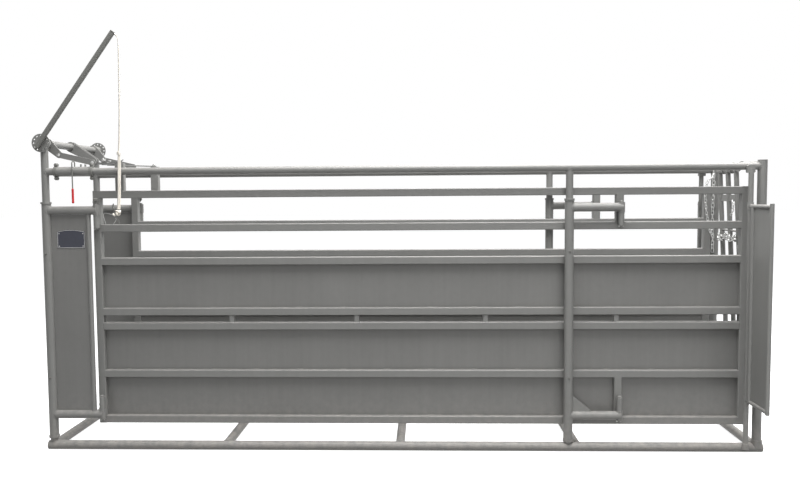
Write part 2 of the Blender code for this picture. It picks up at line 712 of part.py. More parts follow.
def panel_block(side, span, heights, along, near=PANEL_FACE_Y, depth=PANEL_TUBE, corner=PANEL_CORNER):
    """A square tube or bar in the plane of a side panel, between two places along it and two heights."""
    low = (span[0], side_y(side, near), heights[0])
    high = (span[1], side_y(side, near + depth), heights[1])
    return box(low, high, corner, along)


def bay(lower, upper):
    """Lowest and highest point between two of a panel's rails."""
    return RAIL_BOTTOMS[lower] + PANEL_TUBE, RAIL_BOTTOMS[upper]


def panel_hinges(side):
    """Hinge barrels in front of a panel, the webs that carry them, and their bores."""
    y = side_y(side, 0.0)
    web_end = side_y(side, PANEL_FACE_Y + PANEL_CORNER)
    half = ARM_EYE_HEIGHT / 2 + TOUCH_GAP
    barrels, webs, bores = [], [], []
    for x in (ARM_LENGTH, MIDDLE_POST_X + ARM_LENGTH):
        for bottom in (UPPER_ARM_Z - half - BARREL_HEIGHT, LOWER_ARM_Z + half):
            top = bottom + BARREL_HEIGHT
            barrels.append(upright(x, y, bottom, top, BARREL_OD / 2))
            webs.append(box(
                (x - BARREL_WEB / 2, y, bottom + BARREL_WEB_INSET),
                (x + BARREL_WEB / 2, web_end, top - BARREL_WEB_INSET),
            ))
        bores.append(upright(x, y, 0.0, END_POST_TOP, PIN_DIAMETER / 2 + RUNNING_GAP, SMALL_SIDES))
    return barrels, webs, bores


def build_panel_frame(shop, side):
    """The welded frame of a side panel, with its hinges and its hanger upright."""
    top = RAIL_BOTTOMS["top"] + PANEL_TUBE
    full = (RAIL_BOTTOMS["bottom"], top)
    left_stile = panel_block(side, (PANEL_LEFT, PANEL_LEFT + PANEL_TUBE), full, along=2)
    right_stile = panel_block(side, (PANEL_RIGHT - PANEL_TUBE, PANEL_RIGHT), full, along=2)
    centres = (PANEL_LEFT + PANEL_TUBE / 2, PANEL_RIGHT - PANEL_TUBE / 2)
    rails = [
        panel_block(side, centres, (low, low + PANEL_TUBE), along=0)
        for name, low in RAIL_BOTTOMS.items() if name != SLOT_BAY[0]
    ]
    pin_x = MIDDLE_POST_X + ARM_LENGTH
    span = (pin_x - PANEL_TUBE / 2, pin_x + PANEL_TUBE / 2)
    struts = []
    for bay_rails, depth in zip(STRUT_BAYS, (SHEET_RECESS - TOUCH_GAP, PANEL_TUBE)):
        low, high = bay(*bay_rails)
        heights = (low - PANEL_TUBE / 2, high + PANEL_TUBE / 2)
        struts.append(panel_block(side, span, heights, along=2, depth=depth))
    barrels, webs, bores = panel_hinges(side)
    width, depth = HANGER_SIZE
    span = (HANGER_X - width / 2, HANGER_X + width / 2)
    hanger = panel_block(side, span, (top - PANEL_TUBE / 2, HANGER_TOP), along=2,
                         near=PANEL_FACE_Y + HANGER_INSET, depth=depth)
    pin = hanger_pin(side)
    socket = upright(pin.x, pin.y, HANGER_TOP - HANGER_SOCKET, HANGER_TOP + HANGER_SOCKET,
                     YOKE_LINK_PIN / 2 + RUNNING_GAP, SMALL_SIDES)
    shop.piece(f"{side}_panel_frame", f"{side}_panel_axis", "grey_paint", left_stile,
               joins=[rails, [right_stile] + struts, [hanger] + webs, barrels], cuts=[bores + [socket]])


def build_panel_infill(shop, side):
    """The slot rail of a side panel with its stubs, and the three sheets."""
    pivot = f"{side}_panel_axis"
    span = (PANEL_LEFT + PANEL_TUBE + TOUCH_GAP, PANEL_RIGHT - PANEL_TUBE - TOUCH_GAP)
    low, high = RAIL_BOTTOMS[SLOT_BAY[0]], RAIL_BOTTOMS[SLOT_BAY[1]] - TOUCH_GAP
    stubs = [
        panel_block(side, (x - STUB_WIDTH / 2, x + STUB_WIDTH / 2), (low + PANEL_TUBE / 2, high), along=2,
                    near=PANEL_FACE_Y + STUB_INSET, depth=PANEL_TUBE - 2 * STUB_INSET)
        for x in STUB_XS
    ]
    shop.piece(f"{side}_slot_rail", pivot, "grey_paint",
               panel_block(side, span, (low, low + PANEL_TUBE), along=0), joins=[stubs])
    for name, bay_rails in SHEETED_BAYS.items():
        low, high = bay(*bay_rails)
        sheet = panel_block(side, span, (low + TOUCH_GAP, high - TOUCH_GAP), along=0,
                            near=PANEL_FACE_Y + SHEET_RECESS, depth=SHEET_THICKNESS, corner=0.0)
        shop.piece(f"{side}_{name}_sheet", pivot, "sheet_paint", sheet)


def build_shaft(shop):
    """Cross shaft with its index discs and lever."""
    near_end = DISC_FACE_Y
    far_end = FRAME_WIDTH - DISC_FACE_Y
    shaft = cylinder((0.0, near_end, SHAFT_Z), (0.0, far_end, SHAFT_Z), SHAFT_OD / 2)
    shop.piece("cross_shaft", "shaft_axis", "grey_paint", shaft)

    ends = {"front": near_end + DISC_THICKNESS / 2, "rear": far_end - DISC_THICKNESS / 2}
    for side, y in ends.items():
        outlines = [ring_points((0.0, 0.0), DISC_OD / 2, 36), shaft_hole()]
        for number in range(DISC_HOLE_COUNT):
            centre = polar(DISC_HOLE_CIRCLE / 2, 2 * math.pi * number / DISC_HOLE_COUNT)
            outlines.append(ring_points(centre, DISC_HOLE / 2, 8))
        shop.piece(f"{side}_index_disc", "shaft_axis", "grey_paint",
                   shop.plate_shape(outlines, DISC_THICKNESS, (0.0, y, SHAFT_Z), "near"))

    along, up = polar(LEVER_TAIL, LEVER_ANGLE)
    tail = Vector((-along, LEVER_Y, SHAFT_Z - up))
    shop.piece("lever", "shaft_axis", "lever_paint", cylinder(tail, lever_tip(), LEVER_OD / 2))


def shaft_hole():
    """The hole that a plate on the cross shaft needs."""
    return ring_points((0.0, 0.0), SHAFT_OD / 2 + TOUCH_GAP, ROUND_SIDES)


def build_cranks(shop):
    """Short crank arms at both ends of the shaft, and the double one in its middle."""
    eye, end = CRANK_EYE_OD / 2, CRANK_END_OD / 2
    reach = polar(SHORT_CRANK_LENGTH, SHORT_CRANK_ANGLE)
    for side in SIDES:
        y = side_y(side, SHORT_CRANK_Y)
        plate = shop.plate_shape([strap_outline((0.0, 0.0), reach, eye, end), shaft_hole()], CRANK_PLATE,
                                 (0.0, y, SHAFT_Z), "near")
        pin = short_crank_pin(side)
        inner = side_y(side, SHORT_CRANK_Y + CRANK_PLATE / 2 + PIN_END)
        outer = side_y(side, LOCK_LINK_Y - LOCK_LINK_THICKNESS / 2 - TOUCH_GAP - PIN_END / 4)
        bolt = cylinder((pin.x, inner, pin.z), (pin.x, outer, pin.z), CRANK_PIN / 2, SMALL_SIDES)
        shop.piece(f"{side}_crank_arm", "shaft_axis", "grey_paint", plate, joins=[[bolt]])

    reach = polar(LONG_CRANK_LENGTH, LONG_CRANK_ANGLE)
    plates = []
    for offset in (-LONG_CRANK_SPREAD / 2, LONG_CRANK_SPREAD / 2):
        outlines = [strap_outline((0.0, 0.0), reach, eye, end), shaft_hole()]
        place = (0.0, FRAME_WIDTH / 2 + offset, SHAFT_Z)
        plates.append(shop.plate_shape(outlines, CRANK_PLATE, place, "near"))
    pin = long_crank_pin()
    half = LONG_CRANK_SPREAD / 2 + CRANK_PLATE / 2 + PIN_END / 2
    bolt = cylinder((pin.x, pin.y - half, pin.z), (pin.x, pin.y + half, pin.z), CRANK_PIN / 2, SMALL_SIDES)
    shop.piece("middle_crank_arm", "shaft_axis", "grey_paint", bolt, joins=[plates])


def build_links(shop):
    """Flat links at the short cranks, the yoke plate, and the links from the yoke to the hangers."""
    pin_radius = CRANK_PIN / 2 + RUNNING_GAP
    reach = polar(LOCK_LINK_LENGTH, LOCK_LINK_ANGLE)
    half = LOCK_LINK_DEPTH / 2
    for side in SIDES:
        pin = short_crank_pin(side)
        centre = (pin.x, side_y(side, LOCK_LINK_Y), pin.z)
        hole = ring_points((0.0, 0.0), pin_radius, SMALL_SIDES)
        shop.piece(f"{side}_lock_link", f"{side}_link_axis", "grey_paint",
                   shop.plate_shape([strap_outline((0.0, 0.0), reach, half, half), hole],
                                    LOCK_LINK_THICKNESS, centre, "near"))

    middle = FRAME_WIDTH / 2
    outline = [
        (YOKE_LEFT, middle - YOKE_LEFT_HALF), (YOKE_RIGHT, middle - YOKE_RIGHT_HALF),
        (YOKE_RIGHT, middle + YOKE_RIGHT_HALF), (YOKE_LEFT, middle + YOKE_LEFT_HALF),
        (YOKE_LEFT, middle + YOKE_SLOT_HALF), (YOKE_SLOT_END, middle + YOKE_SLOT_HALF),
        (YOKE_SLOT_END, middle - YOKE_SLOT_HALF), (YOKE_LEFT, middle - YOKE_SLOT_HALF),
    ]
    slots = []
    for side in SIDES:
        pin = yoke_pin(side)
        sign = SIDES[side][1]
        ends = (pin.y - sign * YOKE_PLAY_OUT, pin.y + sign * YOKE_PLAY_IN)
        slots.append([
            (pin.x - YOKE_PLAY_ALONG, min(ends)), (pin.x - YOKE_PLAY_ALONG, max(ends)),
            (pin.x + YOKE_PLAY_ALONG, max(ends)), (pin.x + YOKE_PLAY_ALONG, min(ends)),
        ])
    place = (0.0, 0.0, YOKE_Z + YOKE_THICKNESS / 2)
    shop.piece("yoke_plate", "yoke_slide", "grey_paint",
               shop.plate_shape([outline] + slots, YOKE_THICKNESS, place, "up"))

    half = YOKE_LINK_WIDTH / 2
    bottom = HANGER_TOP + TOUCH_GAP
    top = bottom + YOKE_LINK_THICKNESS
    for side in SIDES:
        start, end = hanger_pin(side), yoke_pin(side)
        strap = shop.plate_shape([strap_outline(start.xy, end.xy, half, half)], YOKE_LINK_THICKNESS,
                                 (0.0, 0.0, (bottom + top) / 2), "up")
        pins = [
            upright(start.x, start.y, HANGER_TOP - HANGER_SOCKET + PIN_END / 2, top + PIN_END,
                    YOKE_LINK_PIN / 2, SMALL_SIDES),
            upright(end.x, end.y, bottom + YOKE_LINK_THICKNESS / 2, YOKE_Z + YOKE_THICKNESS + PIN_END,
                    YOKE_LINK_PIN / 2, SMALL_SIDES),
        ]
        shop.piece(f"{side}_yoke_link", f"{side}_yoke_axis", "grey_paint", strap, joins=[pins])


def build_lock(shop):
    """Friction lock on the near top rail: split clamps, turning sleeve, release rod and grip."""
    bore_radius = TOP_RAIL_OD / 2 + TOUCH_GAP
    for name, x in zip(("left", "right"), CLAMP_XS):
        left, right = x - CLAMP_WIDTH / 2, x + CLAMP_WIDTH / 2
        ring = cylinder((left, 0.0, TOP_RAIL_Z), (right, 0.0, TOP_RAIL_Z), CLAMP_OD / 2)
        ears = box(
            (left + CLAMP_EAR_INSET, -CLAMP_EAR_DEPTH / 2, TOP_RAIL_Z - CLAMP_EAR_REACH),
            (right - CLAMP_EAR_INSET, CLAMP_EAR_DEPTH / 2, TOP_RAIL_Z + CLAMP_EAR_REACH),
            CLAMP_EAR_CORNER, along=1,
        )
        bolts = []
        reach = CLAMP_EAR_DEPTH / 2 + CLAMP_BOLT_END
        for sign in (-1, 1):
            z = TOP_RAIL_Z + sign * CLAMP_BOLT_OFFSET
            bolts.append(cylinder((x, -reach, z), (x, reach, z), CLAMP_BOLT / 2, 6))
        ends = (left - CLAMP_WIDTH, 0.0, TOP_RAIL_Z), (right + CLAMP_WIDTH, 0.0, TOP_RAIL_Z)
        bore = cylinder(*ends, bore_radius)
        shop.piece(f"{name}_lock_clamp", "alley_root", "lever_paint", ring,
                   joins=[[ears], bolts], cuts=[[bore]])

    left = CLAMP_XS[0] + CLAMP_WIDTH / 2 + TOUCH_GAP
    right = CLAMP_XS[1] - CLAMP_WIDTH / 2 - TOUCH_GAP
    sleeve = cylinder((left, 0.0, TOP_RAIL_Z), (right, 0.0, TOP_RAIL_Z), LOCK_SLEEVE_OD / 2)
    bore = cylinder((0.0, 0.0, TOP_RAIL_Z), (right + left, 0.0, TOP_RAIL_Z), LOCK_SLEEVE_BORE / 2)
    seat = TOP_RAIL_Z + LOCK_SLEEVE_OD / 2
    screws = [
        upright(x, 0.0, seat - LOCK_SLEEVE_WALL / 2, seat + LOCK_SCREW_HEIGHT, LOCK_SCREW_OD / 2, 6)
        for x in LOCK_SCREW_XS
    ]
    shop.piece("lock_sleeve", "lock_axis", "grey_paint", sleeve, joins=[screws], cuts=[[bore]])

    x, y = RELEASE_ROD_X, RELEASE_ROD_Y
    top = seat + RELEASE_ROD_RISE
    bend = RELEASE_ROD_BEND
    points = [(x, 0.0, seat + TOUCH_GAP)]
    points += [(x, u - bend, top + v - bend) for u, v in arc((0.0, 0.0), bend, 0.0, math.pi / 2, 5)]
    points += [(x, y + bend + u, top + v - bend) for u, v in arc((0.0, 0.0), bend, math.pi / 2, math.pi, 5)]
    points += [(x, y, GRIP_TOP), (x, y, GRIP_BOTTOM + RELEASE_ROD_OD)]
    shop.wire("release_rod", "lock_axis", "bright_zinc", points, RELEASE_ROD_OD / 2, 3)
    grip = upright(x, y, GRIP_BOTTOM, GRIP_TOP, GRIP_OD / 2, 16)
    hole = upright(x, y, GRIP_BOTTOM + RELEASE_ROD_OD - TOUCH_GAP, GRIP_TOP + GRIP_OD,
                   RELEASE_ROD_OD / 2 + TOUCH_GAP, SMALL_SIDES)
    shop.piece("red_grip", "lock_axis", "red_grip", grip, cuts=[[hole]])


def build_wing(shop, side, heading):
    """Sheeted wing on a guide upright. `heading` is its direction from the upright, seen from above."""
    pivot = f"{side}_wing_axis"
    hinge = PIVOTS[pivot][1]
    step = Vector((math.cos(heading), math.sin(heading), 0.0))

    def at(distance, z):
        return (hinge.x + step.x * distance, hinge.y + step.y * distance, z)

    foot, head = WING_BOTTOM - WING_STILE_BELOW, WING_TOP + WING_STILE_ABOVE
    stile = cylinder(at(WING_LENGTH, foot), at(WING_LENGTH, head), WING_STILE_OD / 2)
    inner_stile = cylinder(at(WING_INNER_STILE_OFFSET, WING_BOTTOM), at(WING_INNER_STILE_OFFSET, WING_TOP),
                           WING_INNER_STILE_OD / 2)
    arms = [
        cylinder(at(0.0, WING_TOP), at(WING_LENGTH, WING_TOP), WING_TOP_OD / 2),
        cylinder(at(0.0, WING_BOTTOM), at(WING_LENGTH, WING_BOTTOM), WING_BOTTOM_OD / 2),
    ]
    half = WING_BARREL_HEIGHT / 2
    barrels = [
        upright(hinge.x, hinge.y, z - half, z + half, WING_BARREL_OD / 2) for z in (WING_TOP, WING_BOTTOM)
    ]
    bore = upright(hinge.x, hinge.y, 0.0, END_POST_TOP, GUIDE_OD / 2 + RUNNING_GAP)
    inner = WING_INNER_STILE_OFFSET
    outline = [(inner, WING_BOTTOM), (WING_LENGTH, WING_BOTTOM), (WING_LENGTH, WING_TOP), (inner, WING_TOP)]
    sheet = shop.plate_shape([outline], SHEET_THICKNESS, (0.0, 0.0, 0.0), "near")
    bmesh.ops.rotate(sheet, matrix=Matrix.Rotation(heading, 3, "Z"), verts=sheet.verts)
    bmesh.ops.translate(sheet, vec=hinge, verts=sheet.verts)
    shop.piece(f"{side}_wing_frame", pivot, "grey_paint", stile,
               joins=[arms, barrels, [inner_stile], [sheet]], cuts=[[bore]])


def build_gate(shop):
    """Gate of three leaning bars that hangs in the lugs of the end cross tube, and the chain beside it."""
    middle = FRAME_WIDTH / 2
    radius = GATE_BAR_OD / 2
    first = middle - GATE_BAR_SPACING * (GATE_BAR_COUNT - 1) / 2
    ys = [first + GATE_BAR_SPACING * number for number in range(GATE_BAR_COUNT)]

    def on_bar(y, z):
        return Vector((GATE_HINGE_X + (GATE_HINGE_Z - z) * math.tan(GATE_LEAN), y, z))

    foot_z = GATE_HINGE_Z - GATE_BAR_LENGTH * math.cos(GATE_LEAN)
    ends = on_bar(ys[0] - 2 * radius, GATE_HINGE_Z), on_bar(ys[-1] + 2 * radius, GATE_HINGE_Z)
    hinge_tube = cylinder(*ends, radius)
    bars = [cylinder(on_bar(y, GATE_HINGE_Z), on_bar(y, foot_z), radius) for y in ys]
    ties = [cylinder(on_bar(ys[0] - radius, z), on_bar(ys[-1] + radius, z), GATE_CROSS_OD / 2, SMALL_SIDES)
            for z in GATE_CROSS_HEIGHTS]
    ties.append(cylinder(on_bar(ys[0], foot_z + 2 * radius), on_bar(ys[-1], foot_z + 2 * radius),
                         GATE_FOOT_OD / 2))
    web = on_bar(middle, GATE_WEB_TOP - GATE_WEB_HEIGHT / 2)
    ties.append(box(
        (web.x - GATE_WEB_THICKNESS / 2, ys[0], web.z - GATE_WEB_HEIGHT / 2),
        (web.x + GATE_WEB_THICKNESS / 2, ys[-1], web.z + GATE_WEB_HEIGHT / 2),
    ))
    shop.piece("end_gate", "gate_axis", "grey_paint", hinge_tube, joins=[bars, ties])

    y = side_y("rear", TOP_RAIL_OD / 2 + TOUCH_GAP + CHAIN_WIDTH / 2)
    shop.piece("hanging_chain", "alley_root", "bright_zinc",
               upright(CHAIN_X, y, CHAIN_TOP - CHAIN_LENGTH, CHAIN_TOP, CHAIN_WIDTH / 2, SMALL_SIDES))


def smooth_route(points, count):
    """Evenly spread points on a Catmull-Rom curve through a route's own points."""
    route = [Vector(point) for point in points]
    padded = [2 * route[0] - route[1]] + route + [2 * route[-1] - route[-2]]
    fine = []
    for number in range(1, len(padded) - 2):
        before, start, end, after = padded[number - 1:number + 3]
        for part in range(8):
            t = part / 8
            fine.append(0.5 * (
                2 * start + (end - before) * t + (2 * before - 5 * start + 4 * end - after) * t * t
                + (3 * start - before - 3 * end + after) * t ** 3
            ))
    fine.append(route[-1])
    lengths = [0.0]
    for start, end in zip(fine, fine[1:]):
        lengths.append(lengths[-1] + (end - start).length)
    spread = []
    slot = 0
    for number in range(count):
        want = lengths[-1] * number / (count - 1)
        while slot < len(lengths) - 2 and lengths[slot + 1] < want:
            slot += 1
        share = (want - lengths[slot]) / (lengths[slot + 1] - lengths[slot])
        spread.append(fine[slot].lerp(fine[slot + 1], min(max(share, 0.0), 1.0)))
    return spread, lengths[-1]


def build_rope(shop):
    """Pull rope from the lever's end to its knot."""
    points, length = smooth_route(ROPE_ROUTE, ROPE_POINTS)
    print(f"pull rope length {length:.3f} m")
    shop.wire("pull_rope", "rope_axis", "rope_fibre", points, ROPE_DIAMETER / 2)
    end = Vector(ROPE_ROUTE[-1])
    drop = ROPE_KNOT_RADIUS * ROPE_KNOT_STRETCH + TOUCH_GAP
    knot = ball(end - Vector((0.0, 0.0, drop)), ROPE_KNOT_RADIUS, ROPE_KNOT_STRETCH)
    shop.piece("rope_knot", "rope_axis", "rope_fibre", knot)


def build():
    """Make every part of the alley."""
    clear_scene()
    shop = Workshop()
    build_base(shop)
    build_posts(shop)
    build_rails(shop)
    build_guides(shop)
    for side in SIDES:
        build_swing(shop, side)
        build_middle_arms(shop, side)
        build_panel_frame(shop, side)
        build_panel_infill(shop, side)
    build_blank_plate(shop)
    build_shaft(shop)
    build_cranks(shop)
    build_links(shop)
    build_lock(shop)
    build_wing(shop, "front", math.radians(-90.0) + FRONT_WING_ANGLE)
    build_wing(shop, "rear", math.radians(90.0) - REAR_WING_ANGLE)
    build_gate(shop)
    build_rope(shop)
    bpy.context.view_layer.update()


build()
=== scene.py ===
"""Looks of an adjustable livestock alley: paint, rope, chains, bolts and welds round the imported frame.

Metres, +Z up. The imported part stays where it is. New pieces are placed in the part's design frame,
whose origin is the foot of the near left post, and ride on the part's moving bodies.
"""

import json
import logging
import math
import random
from dataclasses import dataclass
from enum import Enum
from typing import Callable, Iterable, Sequence, Union

import bmesh
import bpy
from mathutils import Matrix, Vector

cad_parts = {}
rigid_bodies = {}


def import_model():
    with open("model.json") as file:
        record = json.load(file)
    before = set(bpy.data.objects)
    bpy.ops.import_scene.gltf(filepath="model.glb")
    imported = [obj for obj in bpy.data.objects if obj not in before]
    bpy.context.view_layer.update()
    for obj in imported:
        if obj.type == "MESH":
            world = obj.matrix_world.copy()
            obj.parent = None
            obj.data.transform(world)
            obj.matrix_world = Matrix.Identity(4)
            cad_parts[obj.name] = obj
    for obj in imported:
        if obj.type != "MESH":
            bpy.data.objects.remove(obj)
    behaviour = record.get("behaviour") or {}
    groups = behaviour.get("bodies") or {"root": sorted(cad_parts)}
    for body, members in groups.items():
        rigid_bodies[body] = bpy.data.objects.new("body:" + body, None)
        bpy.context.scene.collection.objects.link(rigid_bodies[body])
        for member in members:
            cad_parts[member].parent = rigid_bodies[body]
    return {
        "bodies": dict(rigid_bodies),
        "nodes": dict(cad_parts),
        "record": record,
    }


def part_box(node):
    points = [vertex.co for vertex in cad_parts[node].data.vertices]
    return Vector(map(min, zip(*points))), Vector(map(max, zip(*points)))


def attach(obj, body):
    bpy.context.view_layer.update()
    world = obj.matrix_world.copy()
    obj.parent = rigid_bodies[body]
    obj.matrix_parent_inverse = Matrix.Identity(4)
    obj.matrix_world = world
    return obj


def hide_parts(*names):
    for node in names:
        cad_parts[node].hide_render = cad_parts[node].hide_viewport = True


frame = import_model()

LOG = logging.getLogger("alley")

Colour = tuple[float, float, float]
Point = tuple[float, float, float]
Path = list[Vector]

UP = Vector((0.0, 0.0, 1.0))
ALONG = Vector((1.0, 0.0, 0.0))
ACROSS = Vector((0.0, 1.0, 0.0))

LIFT = 0.0006         # how far a weld's line stands off a tube's skin
BROAD_LIFT = 0.0008   # the same for the broadest welds
RIPPLE = 0.0042       # length of one ripple of a weld


class Facing(Enum):
    """Which way a fastener's head looks."""

    NEAR = (0.0, -1.0, 0.0)
    FAR = (0.0, 1.0, 0.0)
    TOP = (0.0, 0.0, 1.0)


class Side(Enum):
    """One of the alley's two long sides."""

    FRONT = "front"
    REAR = "rear"

    def __str__(self) -> str:
        """The word that the side's nodes, bodies and pieces start with."""
        return self.value

    @property
    def outward(self) -> Facing:
        """The way out of the alley on this side."""
        return Facing.NEAR if self is Side.FRONT else Facing.FAR

    @property
    def inward(self) -> Facing:
        """The way into the alley from this side."""
        return Facing.FAR if self is Side.FRONT else Facing.NEAR


class Signal:
    """One output socket of a shader tree, on which shader maths is written as Python expressions."""

    def __init__(self, tree: "ShaderTree", socket: bpy.types.NodeSocket) -> None:
        """Wrap a socket of a tree."""
        self.tree = tree
        self.socket = socket

    def maths(self, operation: str, other: "Value", swapped: bool = False) -> "Signal":
        """Add one Math node.

        Args:
            operation: The Math node's operation.
            other: The second value, or the first one if swapped.
            swapped: Whether this signal is the second value.

        Returns:
            The node's result.
        """
        values = (other, self) if swapped else (self, other)
        return self.tree.node("ShaderNodeMath", {"operation": operation}, {0: values[0], 1: values[1]})

    def __add__(self, other: "Value") -> "Signal":
        """Sum."""
        return self.maths("ADD", other)

    __radd__ = __add__

    def __sub__(self, other: "Value") -> "Signal":
        """Difference."""
        return self.maths("SUBTRACT", other)

    def __rsub__(self, other: "Value") -> "Signal":
        """Difference with the sides changed over."""
        return self.maths("SUBTRACT", other, swapped=True)

    def __mul__(self, other: "Value") -> "Signal":
        """Product."""
        return self.maths("MULTIPLY", other)

    __rmul__ = __mul__

    def __truediv__(self, other: "Value") -> "Signal":
        """Quotient."""
        return self.maths("DIVIDE", other)

    def clamped(self) -> "Signal":
        """The value held between 0 and 1."""
        return self.tree.node("ShaderNodeClamp", {}, {0: self, 1: 0.0, 2: 1.0})


Value = Union[Signal, float]
Shaded = Union[bpy.types.Material, bpy.types.World]


class ShaderTree:
    """The node tree of a material or of the world, built up node by node."""

    def __init__(self, owner: "Shaded", end: str = "ShaderNodeOutputMaterial") -> None:
        """Empty the owner's tree.

        Args:
            owner: The material or world.
            end: The type of its output node.
        """
        self.owner = owner
        self.end = end
        owner.use_nodes = True
        self.tree = owner.node_tree
        self.tree.nodes.clear()

    def node(self, kind: str, settings: dict, inputs: dict, output: Union[int, str] = 0) -> Signal:
        """Add one node.

        Args:
            kind: The node's type.
            settings: Its own properties, set first.
            inputs: Values or signals of its sockets, by name or number.
            output: The socket that the result reads.

        Returns:
            The chosen output.
        """
        made = self.tree.nodes.new(kind)
        for key, value in settings.items():
            setattr(made, key, value)
        for key, value in inputs.items():
            socket = made.inputs[key]
            if isinstance(value, Signal):
                self.tree.links.new(value.socket, socket)
            elif socket.type == "RGBA":
                socket.default_value = (*value, 1.0)
            else:
                socket.default_value = value
        return Signal(self, made.outputs[output])

    def place(self) -> Signal:
        """Where a point of the surface lies, in metres, at rest."""
        return self.node("ShaderNodeTexCoord", {}, {}, "Object")

    def part_of(self, vector: Signal, axis: str) -> Signal:
        """One of a vector's X, Y and Z."""
        return self.node("ShaderNodeSeparateXYZ", {}, {0: vector}, axis)

    def scaled(self, vector: Signal, factors: Point) -> Signal:
        """A vector with each axis scaled by its own factor."""
        return self.node("ShaderNodeVectorMath", {"operation": "MULTIPLY"}, {0: vector, 1: factors})

    def noise(self, vector: Signal, scale: float, detail: float = 3.0, roughness: float = 0.55) -> Signal:
        """Soft noise from 0 to 1, with that many patches to a metre."""
        sockets = {"Vector": vector, "Scale": scale, "Detail": detail, "Roughness": roughness}
        return self.node("ShaderNodeTexNoise", {}, sockets)

    def blend(self, low: Union[Signal, Colour], high: Union[Signal, Colour], share: Value) -> Signal:
        """Mix of two colours.

        Args:
            low: The colour where share is 0.
            high: The colour where share is 1.
            share: How much of the second colour there is.

        Returns:
            The mixed colour.
        """
        settings = {"data_type": "RGBA", "blend_type": "MIX"}
        return self.node("ShaderNodeMix", settings, {0: share, 6: low, 7: high}, 2)

    def toned(self, colour: Colour, low: float, high: float, share: Value) -> Signal:
        """A colour at `low` to `high` times its own strength, by a share."""
        return self.blend(shade(colour, low), shade(colour, high), share)

    def step(self, value: Signal, start: float, width: float) -> Signal:
        """A value's straight rise from 0 at `start` to 1 at `start + width`."""
        return ((value - start) / width).clamped()

    def bump(self, height: Signal, distance: float, strength: float) -> Signal:
        """Surface relief of a height from 0 to 1, with its depth in metres."""
        sockets = {"Strength": strength, "Distance": distance, "Height": height}
        return self.node("ShaderNodeBump", {}, sockets)

    def surface(self, sockets: dict) -> bpy.types.Material:
        """Finish the tree with a Principled shader.

        Args:
            sockets: Values or signals of the shader's sockets.

        Returns:
            The finished material.
        """
        shader = self.node("ShaderNodeBsdfPrincipled", {}, sockets)
        return self.output(shader)

    def output(self, shader: Signal) -> "Shaded":
        """Link a shader to the tree's output.

        Args:
            shader: The finished shader.

        Returns:
            The tree's owner.
        """
        end = self.tree.nodes.new(self.end)
        self.tree.links.new(shader.socket, end.inputs["Surface"])
        return self.owner


def shade(colour: Colour, factor: float) -> Colour:
    """A colour made darker or lighter by a factor."""
    return tuple(min(1.0, part * factor) for part in colour)


@dataclass(frozen=True)
class Finish:
    """What each finish has: the name of its slot in the record, and its main colour."""

    name: str
    colour: Colour

    def begin(self) -> tuple[ShaderTree, Signal]:
        """The empty tree of a new material, and the place of a point of its surface."""
        tree = ShaderTree(bpy.data.materials.new(self.name))
        return tree, tree.place()

    def build(self) -> bpy.types.Material:
        """Make the material, which each kind of finish does in its own way."""
        raise NotImplementedError


